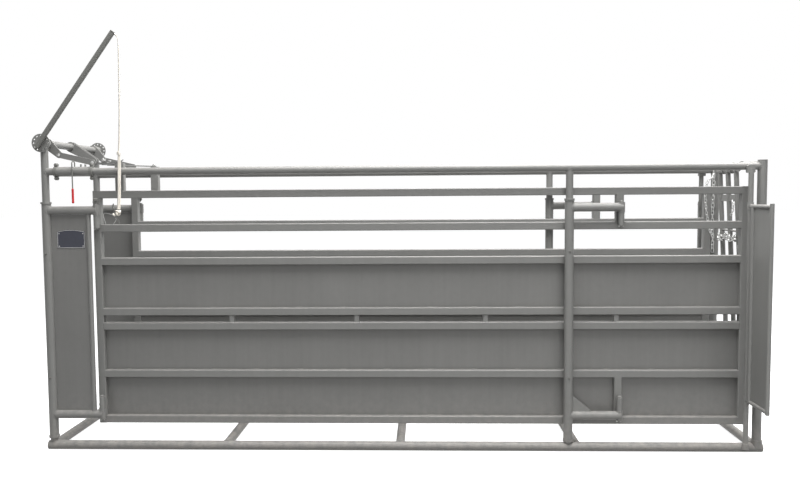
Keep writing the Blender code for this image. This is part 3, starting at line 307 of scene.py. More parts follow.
@dataclass(frozen=True)
class PaintedSteel(Finish):
    """Satin farm-gate paint on steel, with dust, faint run marks, chips and a little rust, and painted top
    light: a light dust colour on up-facing faces that also stands in for light from above.
    """

    roughness: float = 0.5
    mottling: float = 0.3
    streaks: float = 0.2
    # Strength of the light dust colour: settled dust, and painted top light on up-facing faces.
    dust: float = 0.5
    rust: float = 0.3
    edge_wear: float = 0.35
    bevel: float = 0.0016
    broad_patches: float = 1.7
    small_patches: float = 23.0
    grain: float = 310.0
    run_marks: Point = (26.0, 26.0, 1.1)
    rust_spots: float = 47.0
    relief_depth: float = 0.0005
    # Light dust colour, which also paints top light on up-facing faces.
    dust_colour: Colour = (0.47, 0.43, 0.395)
    rust_colour: Colour = (0.145, 0.062, 0.03)
    bare_colour: Colour = (0.36, 0.36, 0.35)

    def build(self) -> bpy.types.Material:
        """Make the material.

        Returns:
            The finished material.
        """
        tree, place = self.begin()
        broad = tree.noise(place, self.broad_patches, 2.0)
        medium = tree.noise(place, self.small_patches, 4.0)
        fine = tree.noise(place, self.grain, 2.0)
        runs = tree.noise(tree.scaled(place, self.run_marks), 1.0, 3.0)
        tone = 0.5 + (broad - 0.5) * self.mottling + (runs - 0.5) * self.streaks + (medium - 0.5) * 0.22
        colour = tree.toned(self.colour, 0.72, 1.28, tone.clamped())

        normal = tree.node("ShaderNodeNewGeometry", {}, {}, "Normal")
        rounded = tree.node("ShaderNodeBevel", {"samples": 4}, {"Radius": self.bevel})
        product = {"operation": "DOT_PRODUCT"}
        match = tree.node("ShaderNodeVectorMath", product, {0: normal, 1: rounded}, "Value")
        edge = tree.step(1.0 - match, 0.03, 0.12)
        chips = tree.step(medium + edge * 0.22, 0.66, 0.06) * edge
        colour = tree.blend(colour, self.bare_colour, chips * self.edge_wear)

        # Light dust colour in patches on up-facing faces and near the floor: partly settled dust, partly
        # painted top light that lightens up-facing faces as if lit from above.
        facing_up = tree.part_of(normal, "Z").clamped()
        near_floor = 1.0 - tree.step(tree.part_of(place, "Z"), 0.03, 0.45)
        dust_and_top_light_mask = (facing_up * 0.55 + near_floor * near_floor * 0.9) * tree.step(medium, 0.25, 0.5)
        dust_and_top_light_share = (dust_and_top_light_mask * self.dust).clamped()
        colour = tree.blend(colour, self.dust_colour, dust_and_top_light_share)

        spots = tree.noise(place, self.rust_spots, 6.0, 0.7)
        damp = 0.05 + near_floor * 0.05 + edge * 0.07
        rusty = tree.step(spots + damp, 0.74, 0.05) * self.rust
        colour = tree.blend(colour, self.rust_colour, rusty)

        rough = self.roughness + (medium - 0.5) * 0.16 + dust_and_top_light_share * 0.35 + rusty * 0.4
        height = fine * 0.5 + medium * 0.8
        relief = tree.node("ShaderNodeBump", {}, {
            "Strength": 0.2, "Distance": self.relief_depth, "Height": height, "Normal": rounded,
        })
        return tree.surface({
            "Base Color": colour, "Roughness": rough.clamped(), "Metallic": chips * 0.5, "Normal": relief,
            "Coat Weight": 0.08, "Coat Roughness": 0.34,
        })


@dataclass(frozen=True)
class ZincedSteel(Finish):
    """Dull zinc on chain, rod and fasteners, with white bloom and rust in the hollows."""

    roughness: float = 0.38
    rust: float = 0.35
    crystals: float = 260.0
    clouds: float = 60.0
    rust_spots: float = 90.0
    rust_colour: Colour = (0.16, 0.075, 0.035)

    def build(self) -> bpy.types.Material:
        """Make the material.

        Returns:
            The finished material.
        """
        tree, place = self.begin()
        sockets = {"Vector": place, "Scale": self.crystals}
        spangle = tree.node("ShaderNodeTexVoronoi", {}, sockets, "Distance")
        cloud = tree.noise(place, self.clouds, 4.0)
        tone = (0.5 + (spangle - 0.4) * 0.5 + (cloud - 0.5) * 0.7).clamped()
        colour = tree.toned(self.colour, 0.62, 1.3, tone)
        rusty = tree.step(tree.noise(place, self.rust_spots, 6.0, 0.7), 0.6, 0.08) * self.rust
        colour = tree.blend(colour, self.rust_colour, rusty)
        rough = self.roughness + (cloud - 0.5) * 0.25 + rusty * 0.4
        return tree.surface({
            "Base Color": colour, "Roughness": rough.clamped(), "Metallic": 0.85 - rusty * 0.8,
            "Normal": tree.bump(cloud + spangle * 0.4, 0.0003, 0.5),
        })


@dataclass(frozen=True)
class DippedVinyl(Finish):
    """Soft plastic dipped over a rod's end, scuffed and a little faded."""

    scuff_grain: float = 220.0
    faded_patches: float = 18.0
    scuffed_colour: Colour = (0.62, 0.3, 0.27)

    def build(self) -> bpy.types.Material:
        """Make the material.

        Returns:
            The finished material.
        """
        tree, place = self.begin()
        scuffs = tree.noise(tree.scaled(place, (1.0, 1.0, 0.25)), self.scuff_grain, 4.0, 0.65)
        fading = tree.noise(place, self.faded_patches, 2.0)
        colour = tree.toned(self.colour, 0.8, 1.15, fading)
        worn = tree.step(scuffs, 0.58, 0.12) * 0.3
        colour = tree.blend(colour, self.scuffed_colour, worn)
        return tree.surface({
            "Base Color": colour, "Roughness": 0.42 + worn * 0.8, "Specular IOR Level": 0.45,
            "Normal": tree.bump(scuffs, 0.0003, 0.4),
        })


@dataclass(frozen=True)
class LaidFibre(Finish):
    """Weathered laid rope, with fine strands, dirt in the lay and grubby patches."""

    fibre_grain: float = 900.0
    grubby_patches: float = 26.0
    soil: Colour = (0.3, 0.24, 0.17)

    def build(self) -> bpy.types.Material:
        """Make the material.

        Returns:
            The finished material.
        """
        tree, place = self.begin()
        fibres = tree.noise(tree.scaled(place, (1.0, 1.0, 0.35)), self.fibre_grain, 4.0, 0.7)
        patches = tree.noise(place, self.grubby_patches, 3.0)
        colour = tree.toned(self.colour, 0.8, 1.12, fibres)
        grime = tree.step(patches, 0.55, 0.35) * 0.25
        colour = tree.blend(colour, self.soil, grime * (0.4 + fibres * 0.6))
        return tree.surface({
            "Base Color": colour, "Roughness": 0.88, "Sheen Weight": 0.25, "Sheen Roughness": 0.5,
            "Normal": tree.bump(fibres, 0.0005, 0.7),
        })


@dataclass(frozen=True)
class BlankPlate(Finish):
    """Dark enamelled plate with faint scratches. It carries nothing."""

    scratch_run: Point = (9.0, 9.0, 120.0)
    clouds: float = 40.0
    scratch_colour: Colour = (0.2, 0.21, 0.24)

    def build(self) -> bpy.types.Material:
        """Make the material.

        Returns:
            The finished material.
        """
        tree, place = self.begin()
        scratches = tree.noise(tree.scaled(place, self.scratch_run), 6.0, 5.0, 0.7)
        cloud = tree.noise(place, self.clouds, 3.0)
        marks = tree.step(scratches, 0.63, 0.08) * 0.35
        colour = tree.toned(self.colour, 0.85, 1.2, cloud)
        colour = tree.blend(colour, self.scratch_colour, marks)
        return tree.surface({
            "Base Color": colour, "Roughness": 0.28 + cloud * 0.15 + marks * 0.5, "Coat Weight": 0.3,
            "Normal": tree.bump(scratches, 0.0002, 0.3),
        })


# Each paint lays its light dust colour on up-facing faces, which is dust and painted top light together.
GREY_PAINT = PaintedSteel("grey_paint", (0.205, 0.204, 0.196))
SHEET_PAINT = PaintedSteel("sheet_paint", (0.18, 0.178, 0.171), roughness=0.52, mottling=0.55, streaks=0.28)
LEVER_PAINT = PaintedSteel("lever_paint", (0.15, 0.15, 0.14), dust=0.16, edge_wear=0.3)
BRIGHT_ZINC = ZincedSteel("bright_zinc", (0.5, 0.5, 0.49))
RED_GRIP = DippedVinyl("red_grip", (0.56, 0.012, 0.016))
ROPE_FIBRE = LaidFibre("rope_fibre", (0.84, 0.79, 0.71))
PLATE_ENAMEL = BlankPlate("blank_plate", (0.012, 0.014, 0.028))

SLOT_FINISHES: dict[str, Finish] = {
    finish.name: finish
    for finish in (GREY_PAINT, SHEET_PAINT, LEVER_PAINT, BRIGHT_ZINC, RED_GRIP, ROPE_FIBRE, PLATE_ENAMEL)
}


class PaintShop:
    """Makes each finish once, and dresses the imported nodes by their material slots."""

    def __init__(self) -> None:
        """Start with no finish made."""
        self.made: dict[str, bpy.types.Material] = {}

    def get(self, slot: str) -> bpy.types.Material:
        """Look up the material of a slot, and make it the first time.

        Args:
            slot: One of the record's material slots.

        Returns:
            Its material.
        """
        if slot not in self.made:
            self.made[slot] = SLOT_FINISHES[slot].build()
        return self.made[slot]

    def dress_nodes(self) -> None:
        """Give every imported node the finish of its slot, and the release rod the dull lever paint."""
        for row in frame["record"]["subparts"]:
            mesh = frame["nodes"][row["node"]].data
            mesh.materials.clear()
            slot = "lever_paint" if row["node"] == "release_rod" else row["material_slot"]
            mesh.materials.append(self.get(slot))


@dataclass(frozen=True)
class Plan:
    """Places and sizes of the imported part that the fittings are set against, in its design frame."""

    width: float
    post_spacing: float
    middle_x: float
    post_radius: float
    rail_z: float
    rail_radius: float
    base_radius: float
    shaft_z: float
    sleeve_radius: float = 0.03015
    arm_radius: float = 0.0285
    arm_length: float = 0.34
    arm_zs: tuple[float, float] = (1.633, 0.243)
    sleeve_top: float = 1.677
    guide_x: float = 4.651
    guide_offset: float = 0.04145

    @classmethod
    def read(cls) -> "Plan":
        """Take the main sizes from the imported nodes.

        Returns:
            The filled plan.
        """
        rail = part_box("front_top_rail")
        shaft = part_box("cross_shaft")
        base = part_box("front_base_tube")
        return cls(
            width=centre("rear_left_post").y - centre("front_left_post").y,
            post_spacing=centre("front_right_post").x - centre("front_left_post").x,
            middle_x=centre("front_middle_post").x - centre("front_left_post").x,
            post_radius=0.02415,
            rail_z=(rail[0].z + rail[1].z) / 2,
            rail_radius=(rail[1].z - rail[0].z) / 2,
            base_radius=(base[1].z - base[0].z) / 2,
            shaft_z=(shaft[0].z + shaft[1].z) / 2,
        )

    def at(self, side: Side, x: float, inwards: float, z: float) -> Vector:
        """The point at x and z that lies `inwards` metres into the alley from a side's post line."""
        return Vector((x, inwards if side is Side.FRONT else self.width - inwards, z))

    def guide(self, side: Side, z: float) -> Vector:
        """A point on the axis of a side's thin guide upright, which the wing turns on."""
        return self.at(side, self.guide_x, -self.guide_offset, z)


def centre(node: str) -> Vector:
    """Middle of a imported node's box."""
    low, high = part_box(node)
    return (low + high) / 2


ORIGIN = Vector((centre("front_left_post").x, centre("front_left_post").y, 0.0))


def around(middle: Vector, first: Vector, second: Vector, radius: float, turn: float) -> Vector:
    """The point at an angle of a circle whose plane is given by two directions."""
    return middle + first * (radius * math.cos(turn)) + second * (radius * math.sin(turn))


def turns(count: int, start: float = 0.0) -> list[float]:
    """Evenly spread angles of one full turn."""
    return [start + 2 * math.pi * number / count for number in range(count)]


def own_box(node: str) -> tuple[Vector, Vector]:
    """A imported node's box in the part's design frame."""
    low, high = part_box(node)
    return low - ORIGIN, high - ORIGIN


def circle(middle: Vector, axis: Vector, radius: float, count: int = 24) -> Path:
    """Points round a circle.

    Args:
        middle: The circle's centre.
        axis: The direction that it turns about.
        radius: Its radius.
        count: How many points it has.

    Returns:
        The points, without the first one repeated.
    """
    first = axis.orthogonal().normalized()
    second = axis.normalized().cross(first)
    return [around(middle, first, second, radius, turn) for turn in turns(count)]


def saddle(
    middle: Vector, run: Vector, branch: Vector, run_radius: float, branch_radius: float, count: int = 28,
) -> Path:
    """The line where one round tube meets the side of another at right angles.

    Args:
        middle: Where the two axes cross.
        run: Direction of the tube that goes on.
        branch: Direction of the tube that ends on it.
        run_radius: Radius of the tube that goes on.
        branch_radius: Radius of the tube that ends.
        count: How many points the line has.

    Returns:
        Points round the joint.
    """
    third = branch.cross(run)
    points = []
    for turn in turns(count):
        side_step = min(branch_radius * math.sin(turn), run_radius * 0.999)
        rise = math.sqrt(max(run_radius ** 2 - side_step ** 2, 0.0))
        points.append(around(middle, run, third, branch_radius, turn) + branch * rise)
    return points


def resampled(points: Sequence[Vector], spacing: float, closed: bool = False) -> Path:
    """Points at an even spacing along straight runs between the given ones.

    Args:
        points: The corners of the line.
        spacing: The distance wanted between points.
        closed: Whether the last point joins the first.

    Returns:
        The evenly spread points.
    """
    corners = list(points) + ([points[0]] if closed else [])
    lengths = [0.0]
    for start, end in zip(corners, corners[1:]):
        lengths.append(lengths[-1] + (end - start).length)
    count = max(2, round(lengths[-1] / spacing))
    spread, slot = [], 0
    for number in range(count if closed else count + 1):
        want = lengths[-1] * number / count
        while slot < len(lengths) - 2 and lengths[slot + 1] < want:
            slot += 1
        share = (want - lengths[slot]) / max(lengths[slot + 1] - lengths[slot], 1e-9)
        spread.append(corners[slot].lerp(corners[slot + 1], min(max(share, 0.0), 1.0)))
    return spread


def smoothed(points: Sequence[Vector], parts: int = 8) -> Path:
    """Points on a smooth cubic curve through a route's own points.

    Args:
        points: The route.
        parts: How many steps the curve takes from one point to the next.

    Returns:
        The curve's points.
    """
    padded = [2 * points[0] - points[1], *points, 2 * points[-1] - points[-2]]
    fine = []
    for number in range(1, len(padded) - 2):
        before, start, end, after = padded[number - 1:number + 3]
        for part in range(parts):
            t = part / parts
            fine.append(0.5 * (
                2 * start + (end - before) * t + (2 * before - 5 * start + 4 * end - after) * t * t
                + (3 * start - before - 3 * end + after) * t ** 3
            ))
    fine.append(points[-1].copy())
    return fine


class Draft:
    """A mesh in the making, in the part's design frame."""

    def __init__(self, name: str, shop: PaintShop) -> None:
        """Start an empty mesh."""
        self.name = name
        self.shop = shop
        self.mesh = bmesh.new()

    def rings(self, rings: Sequence[Sequence[Vector]], closed: bool = False) -> None:
        """Skin over a row of rings with equal numbers of points, and cover open ends.

        Args:
            rings: The rings, in order.
            closed: Whether the last ring joins the first.
        """
        rows = [[self.mesh.verts.new(point + ORIGIN) for point in ring] for ring in rings]
        pairs = list(zip(rows, rows[1:])) + ([(rows[-1], rows[0])] if closed else [])
        for first, second in pairs:
            for number in range(len(first)):
                after = (number + 1) % len(first)
                self.mesh.faces.new((first[number], first[after], second[after], second[number]))
        if not closed:
            self.mesh.faces.new(rows[0][::-1])
            self.mesh.faces.new(rows[-1])

    def sweep(
        self, path: Sequence[Vector], radius: Union[float, Callable[[int, float], float]],
        sides: int = 8, closed: bool = False,
    ) -> None:
        """Sweep a round section along a path.

        Args:
            path: The centreline.
            radius: The section's radius, or its radius at a point's number and angle.
            sides: How many sides the section has.
            closed: Whether the path is a loop.
        """
        count = len(path)
        headings = []
        for number in range(count):
            before = path[number - 1] if closed or number > 0 else path[0]
            after = path[(number + 1) % count] if closed or number < count - 1 else path[-1]
            headings.append((after - before).normalized())
        first = headings[0].orthogonal().normalized()
        frames = [first]
        for number in range(1, count):
            carried = frames[-1] - headings[number] * frames[-1].dot(headings[number])
            frames.append(carried.normalized())
        twist = 0.0
        if closed:
            carried = frames[-1] - headings[0] * frames[-1].dot(headings[0])
            carried.normalize()
            twist = math.atan2(carried.cross(first).dot(headings[0]), carried.dot(first))
        rings = []
        for number, (point, heading, side) in enumerate(zip(path, headings, frames)):
            other = heading.cross(side)
            rings.append([
                around(point, side, other, radius(number, turn) if callable(radius) else radius, turn)
                for turn in turns(sides, twist * number / count)
            ])
        self.rings(rings, closed)

    def lathe(self, base: Vector, axis: Vector, profile: Sequence[tuple[float, float]], sides: int = 24,
              turn: float = 0.0) -> None:
        """Turn a profile about an axis.

        Args:
            base: Where the profile's distance along the axis is 0.
            axis: Direction of the axis.
            profile: Radius and distance along the axis of each ring, from one closed end to the other.
            sides: How many sides the shape has; 6 makes a hexagon.
            turn: Angle by which the first corner is turned.
        """
        axis = axis.normalized()
        first = axis.orthogonal().normalized()
        second = axis.cross(first)
        rings = []
        for radius, along in profile:
            middle = base + axis * along
            rings.append([around(middle, first, second, radius, angle) for angle in turns(sides, turn)])
        self.rings(rings)

    def bolt_head(self, seat: Vector, facing: Facing, across: float, stud: float = 0.0) -> None:
        """A washer and a hexagon head or nut on a flat seat.

        Args:
            seat: Middle of the seat.
            facing: The way that the head looks.
            across: The hexagon's width across its corners.
            stud: How far a threaded end stands out of a nut; 0 for a plain head.
        """
        axis = Vector(facing.value)
        radius = across / 2
        height = across * 0.38
        washer = across * 0.07
        self.lathe(seat, axis, [
            (radius * 1.16, 0.0), (radius * 1.2, washer * 0.3), (radius * 1.2, washer * 0.8),
            (radius * 1.14, washer),
        ])
        top = washer + height
        self.lathe(seat, axis, [
            (radius * 0.98, washer), (radius, washer * 1.4), (radius, top * 0.86), (radius * 0.86, top),
        ], sides=6, turn=0.3)
        if stud > 0.0:
            self.lathe(seat, axis, [
                (radius * 0.5, top * 0.9), (radius * 0.5, top + stud * 0.8), (radius * 0.38, top + stud),
            ], sides=14)

    def bead(self, path: Sequence[Vector], radius: float = 0.0028, closed: bool = False) -> None:
        """A weld bead along a line, with its ripple.

        Args:
            path: The line that it follows.
            radius: The bead's usual radius.
            closed: Whether the line is a loop.
        """
        line = resampled(path, RIPPLE, closed)
        chance = random.Random(len(line) * 7 + round(path[0].x * 1000))
        swell = [radius * chance.uniform(0.8, 1.2) for _ in line]
        if len(line) > 3:
            self.sweep(line, lambda number, turn: swell[number], 6, closed)

    def joint_bead(self, middle: Vector, run: Vector, branch: Vector, run_radius: float,
                   branch_radius: float, radius: float) -> None:
        """A bead of a radius all round the end of a tube on the side of another."""
        self.bead(saddle(middle, run, branch, run_radius, branch_radius), radius, closed=True)

    def ring_bead(self, middle: Vector, axis: Vector, ring_radius: float, radius: float = 0.0028,
                  count: int = 24) -> None:
        """A bead of a radius round a circle."""
        self.bead(circle(middle, axis, ring_radius, count), radius, closed=True)

    def link(self, middle: Vector, heading: Vector, normal: Vector, length: float, width: float,
             wire: float) -> None:
        """One welded chain link.

        Args:
            middle: The link's centre.
            heading: The way that the chain runs.
            normal: The direction that the link's flat side faces.
            length: Its outer length.
            width: Its outer width.
            wire: Its wire's diameter.
        """
        heading = heading.normalized()
        sideways = heading.cross(normal).normalized()
        bend = (width - wire) / 2
        straight = length / 2 - wire / 2 - bend
        path = []
        for end in (1, -1):
            for number in range(7):
                turn = math.pi * number / 6 - math.pi / 2
                path.append(
                    middle + heading * (end * (straight + bend * math.cos(turn)))
                    + sideways * (end * bend * math.sin(turn))
                )
        self.sweep(path, wire / 2, 8, closed=True)

    def chain(self, route: Sequence[Vector], length: float, width: float, wire: float) -> None:
        """A run of chain links along a route, each turned across the one before.

        Args:
            route: The corners of the chain's line.
            length: A link's outer length.
            width: A link's outer width.
            wire: Its wire's diameter.
        """
        pitch = length - 2 * wire
        places = resampled(route, pitch)
        for number, (start, end) in enumerate(zip(places, places[1:])):
            heading = (end - start).normalized()
            first = heading.orthogonal().normalized()
            normal = first if number % 2 else heading.cross(first)
            tilted = Matrix.Rotation(math.radians(12.0 if number % 3 else -9.0), 3, heading) @ normal
            self.link((start + end) / 2, heading, tilted, length, width, wire)

    def finish(
        self, slot: str, body: str, replaces: Sequence[str] = (), angle: float = 38.0,
    ) -> bpy.types.Object:
        """Turn the draft into a piece of the scene.

        Args:
            slot: The record's material slot.
            body: The moving body that it rides on.
            replaces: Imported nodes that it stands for.
            angle: Edges sharper than this many degrees stay crisp.

        Returns:
            The new object.
        """
        bmesh.ops.recalc_face_normals(self.mesh, faces=self.mesh.faces)
        mesh = bpy.data.meshes.new(self.name)
        self.mesh.to_mesh(mesh)
        self.mesh.free()
        mesh.shade_smooth()
        mesh.set_sharp_from_angle(angle=math.radians(angle))
        mesh.materials.append(self.shop.get(slot))
        item = bpy.data.objects.new(self.name, mesh)
        bpy.context.scene.collection.objects.link(item)
        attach(item, body)
        if replaces:
            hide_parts(*replaces)
        LOG.info("%s rides on %s, %d faces", self.name, body, len(mesh.polygons))
        return item


@dataclass(frozen=True)
class Assembly:
    """A group of fittings, with the plan that places them and the shop that finishes them."""

    plan: Plan
    shop: PaintShop

    def draft(self, name: str) -> Draft:
        """Start a piece."""
        return Draft(name, self.shop)

    def build(self) -> None:
        """Make the pieces, which each group does in its own way."""
        raise NotImplementedError


@dataclass(frozen=True)
class PullRope(Assembly):
    """Laid rope from the lever's end, doubled below a tie, with its knot."""

    diameter: float = 0.0125
    lay_pitch: float = 0.036
    lay_depth: float = 0.13
    tie_z: float = 2.015
    doubled_share: float = 0.9
    doubled_offset: Point = (0.0075, 0.008, 0.0)
    tie_turns: int = 4
    tie_radius: float = 0.0098
    tie_height: float = 0.024
    tie_cord_radius: float = 0.003
    knot_size: float = 0.0125
    knot_strand_radius: float = 0.0068
    knot_drop: float = 0.0222
    tail_radius: float = 0.0058
    loose_strands: int = 8
    route: tuple[Point, ...] = (
        (0.5258, -0.062, 2.7838), (0.5362, -0.063, 2.7765), (0.547, -0.067, 2.764), (0.5555, -0.075, 2.74),
        (0.559, -0.081, 2.705), (0.56, -0.085, 2.66), (0.5595, -0.086, 2.6), (0.5585, -0.086, 2.53),
        (0.557, -0.085, 2.45), (0.555, -0.084, 2.365), (0.552, -0.082, 2.28), (0.548, -0.08, 2.19),
        (0.543, -0.077, 2.11), (0.537, -0.073, 2.045), (0.531, -0.069, 1.975), (0.526, -0.065, 1.905),
        (0.522, -0.061, 1.835), (0.519, -0.058, 1.765), (0.515, -0.056, 1.695), (0.511, -0.055, 1.64),
    )

    def laid(
        self, name: str, path: Path, diameter: float, replaces: Sequence[str] = (),
    ) -> bpy.types.Object:
        """Three-strand rope along a path.

        Args:
            name: The piece's name.
            path: Its centreline.
            diameter: Its full diameter.
            replaces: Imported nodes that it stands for.

        Returns:
            The rope.
        """
        line = resampled(path, self.lay_pitch / 10)
        spacing = (line[1] - line[0]).length
        half = diameter / 2

        def lobed(number: int, turn: float) -> float:
            """The section's radius, which has three lobes that wind along the rope."""
            wind = 2 * math.pi * number * spacing / self.lay_pitch
            return half * (1.0 - self.lay_depth * (1.0 - abs(math.cos(1.5 * (turn - wind)))))

        draft = self.draft(name)
        draft.sweep(line, lobed, 18)
        return draft.finish("rope_fibre", "rope", replaces, angle=60.0)

    def build(self) -> None:
        route = smoothed([Vector(point) for point in self.route])
        rope = self.laid("rope_main", route, self.diameter, ["pull_rope"])
        lower = [point for point in route if point.z < self.tie_z]
        beside = [
            point + Vector(self.doubled_offset) * min(1.0, 0.35 + (self.tie_z - point.z) * 9.0)
            for point in lower
        ]
        doubled = self.laid("rope_doubled_end", beside, self.diameter * self.doubled_share)
        tie = self.build_tie(lower[0])
        knot = self.build_knot(route[-1])
        length = sum((end - start).length for start, end in zip(route, route[1:]))
        tuple(route[0] + ORIGIN)
        [tuple(point + ORIGIN) for point in route]
        LOG.info("pull rope %.3f m", length)

    def build_tie(self, middle: Vector) -> bpy.types.Object:
        """Thin cord wound round the rope where it is doubled.

        Args:
            middle: The rope's own point there.

        Returns:
            The tie.
        """
        count = 72
        middle = middle + Vector((-0.002, 0.003, self.tie_height / 2))
        path = []
        for number in range(count + 1):
            share = number / count
            turn = 2 * math.pi * self.tie_turns * share
            level = middle - UP * (self.tie_height * share)
            path.append(around(level, ALONG, ACROSS, self.tie_radius, turn))
        draft = self.draft("rope_tie")
        draft.sweep(path, self.tie_cord_radius, 8)
        return draft.finish("rope_fibre", "rope")

    def build_knot(self, end: Vector) -> bpy.types.Object:
        """Hard-pulled knot with a short frayed tail at its left.

        Args:
            end: The rope's last point.

        Returns:
            The knot.
        """
        draft = self.draft("rope_end_knot")
        middle = end - UP * self.knot_drop
        size = self.knot_size
        path = [middle + Vector((
            size * (math.sin(turn) + 2 * math.sin(2 * turn)) / 2.4,
            size * -math.sin(3 * turn) * 0.55,
            size * (math.cos(turn) - 2 * math.cos(2 * turn)) / 2.4,
        )) for turn in turns(96)]
        draft.sweep(path, self.knot_strand_radius, 12, closed=True)
        tail = smoothed([middle + Vector(step) for step in (
            (-0.004, -0.004, 0.002), (-0.013, -0.006, -0.003), (-0.02, -0.006, -0.009),
            (-0.026, -0.005, -0.013),
        )])
        draft.sweep(tail, lambda number, turn: self.tail_radius - 0.00003 * number * number, 12)
        chance = random.Random(11)
        foot = tail[-1]
        for _ in range(self.loose_strands):
            lean = Vector((-1.0, chance.uniform(-0.4, 0.4), chance.uniform(-0.9, 0.1))).normalized()
            length = chance.uniform(0.003, 0.006)
            strand = [foot + lean * (length * share) for share in (-0.5, 0.35, 0.7, 1.0)]
            draft.sweep(strand, lambda number, turn: 0.0016 * (1.0 - 0.22 * number), 6)
        return draft.finish("rope_fibre", "rope", ["rope_knot"])


@dataclass(frozen=True)
class AdjustingGear(Assembly):
    """Fittings of the lever, cross shaft, cranks, links and yoke."""

    lever_angle: float = math.radians(54.3)
    lever_length: float = 0.884
    lever_radius: float = 0.01745
    lever_y: float = -0.066
    disc_face: float = -0.0446
    shaft_radius: float = 0.02415
    crank_offset: float = 0.045
    crank_half: float = 0.0045
    yoke_half: float = 0.0195
    link_half: float = 0.019
    pin_offset: float = 0.0497
    hanger_nut_z: float = 1.9583
    nut_across: float = 0.021
    nut_stud: float = 0.003
    eye_turn_radius: float = 0.0058
    eye_wire_radius: float = 0.0022

    def lever_point(self, along: float) -> Vector:
        """A point on the lever's axis, `along` metres from the shaft."""
        return Vector((
            along * math.cos(self.lever_angle), self.lever_y,
            self.plan.shaft_z + along * math.sin(self.lever_angle),
        ))

    def lever_directions(self) -> tuple[Vector, Vector]:
        """The way up the lever, and the way square to it, down and to the right."""
        heading = (self.lever_point(1.0) - self.lever_point(0.0)).normalized()
        return heading, Vector((heading.z, 0.0, -heading.x))

    def build(self) -> None:
        """Make all the fittings."""
        self.build_lever_ends()
        self.build_shaft_fittings()
        self.build_link_nuts()

    def build_lever_ends(self) -> None:
        """The small curled eye at the lever's tip that the rope hangs from, and the lower end's plug."""
        heading, square = self.lever_directions()
        end = self.lever_point(self.lever_length)
        eye = self.draft("lever_tip_eye")
        curl = [self.lever_point(self.lever_length - 0.03) + square * (self.lever_radius * 0.55)]
        middle = end + square * 0.006 - heading * 0.0078
        for number in range(11):
            turn = math.radians(-50.0 + 27.0 * number)
            curl.append(around(middle, square, heading, self.eye_turn_radius, turn))
        eye.sweep(smoothed(curl, 4), self.eye_wire_radius, 8)
        eye.ring_bead(end - heading * 0.0012, heading, self.lever_radius - 0.0022, 0.0014)
        eye.finish("lever_paint", "cross_shaft")
        plug = self.draft("lever_foot_plug")
        plug.lathe(self.lever_point(-0.034), -heading, [
            (self.lever_radius - 0.003, -0.0004), (self.lever_radius - 0.0032, 0.0008),
            (self.lever_radius - 0.005, 0.002), (0.004, 0.0024),
        ])
        plug.finish("lever_paint", "cross_shaft")

    def build_shaft_fittings(self) -> None:
        """Weld rings on the shaft, and the lever's seams on its disc."""
        plan = self.plan
        welds = self.draft("shaft_welds")
        for middle, half in (
            (self.crank_offset, self.crank_half), (plan.width - self.crank_offset, self.crank_half),
            (plan.width / 2, self.yoke_half),
        ):
            for y in (middle - half, middle + half):
                welds.ring_bead(Vector((0.0, y, plan.shaft_z)), ACROSS, self.shaft_radius + 0.0012)
        far_end = Vector((0.0, plan.width - self.disc_face, plan.shaft_z))
        welds.ring_bead(far_end, ACROSS, self.shaft_radius - 0.002)
        heading, square = self.lever_directions()
        for sign in (-1, 1):
            line = [
                self.lever_point(along) + square * (sign * self.lever_radius * 0.62)
                + ACROSS * (self.lever_radius * 0.8)
                for along in (-0.03, 0.052)
            ]
            welds.bead(line, 0.0042)
        welds.finish("grey_paint", "cross_shaft")
        ends = self.draft("shaft_end_nut")
        ends.bolt_head(far_end + ACROSS * 0.0002, Facing.FAR, 0.03, 0.006)
        ends.finish("bright_zinc", "cross_shaft")

    def build_link_nuts(self) -> None:
        """Nuts on the crank pins, pin heads on the links' near faces, and nuts on the yoke links."""
        for side in Side:
            low, high = own_box(f"{side}_lock_link")
            left = self.plan.at(side, low.x + self.link_half, self.pin_offset, high.z - self.link_half)
            crank = self.draft(f"{side}_crank_nuts")
            crank.bolt_head(left, side.inward, self.nut_across, self.nut_stud)
            crank.finish("bright_zinc", "cross_shaft")
            outer = low.y if side is Side.FRONT else high.y
            heads = self.draft(f"{side}_link_pin_heads")
            for place in (left, Vector((high.x - self.link_half, 0.0, low.z + self.link_half))):
                heads.lathe(Vector((place.x, outer, place.z)), Vector(side.outward.value), [
                    (0.0105, -0.0002), (0.0105, 0.003), (0.0085, 0.0042), (0.0012, 0.0046),
                ])
            heads.finish("bright_zinc", f"{side}_lock_link")
            self.build_yoke_nuts(side)

    def build_yoke_nuts(self, side: Side) -> None:
        """Nuts on top of a yoke link's two pins.

        Args:
            side: The side that the link belongs to.
        """
        low, high = own_box(f"{side}_yoke_link")
        tops = self.draft(f"{side}_yoke_nuts")
        for x in (low.x + self.link_half, high.x - self.link_half):
            near_hanger = x > (low.x + high.x) / 2
            at_low = (side is Side.FRONT) == near_hanger
            y = low.y + self.link_half if at_low else high.y - self.link_half
            z = self.hanger_nut_z if near_hanger else high.z - 0.0022
            tops.bolt_head(Vector((x, y, z)), Facing.TOP, self.nut_across, self.nut_stud)
        tops.finish("bright_zinc", f"{side}_yoke_link")


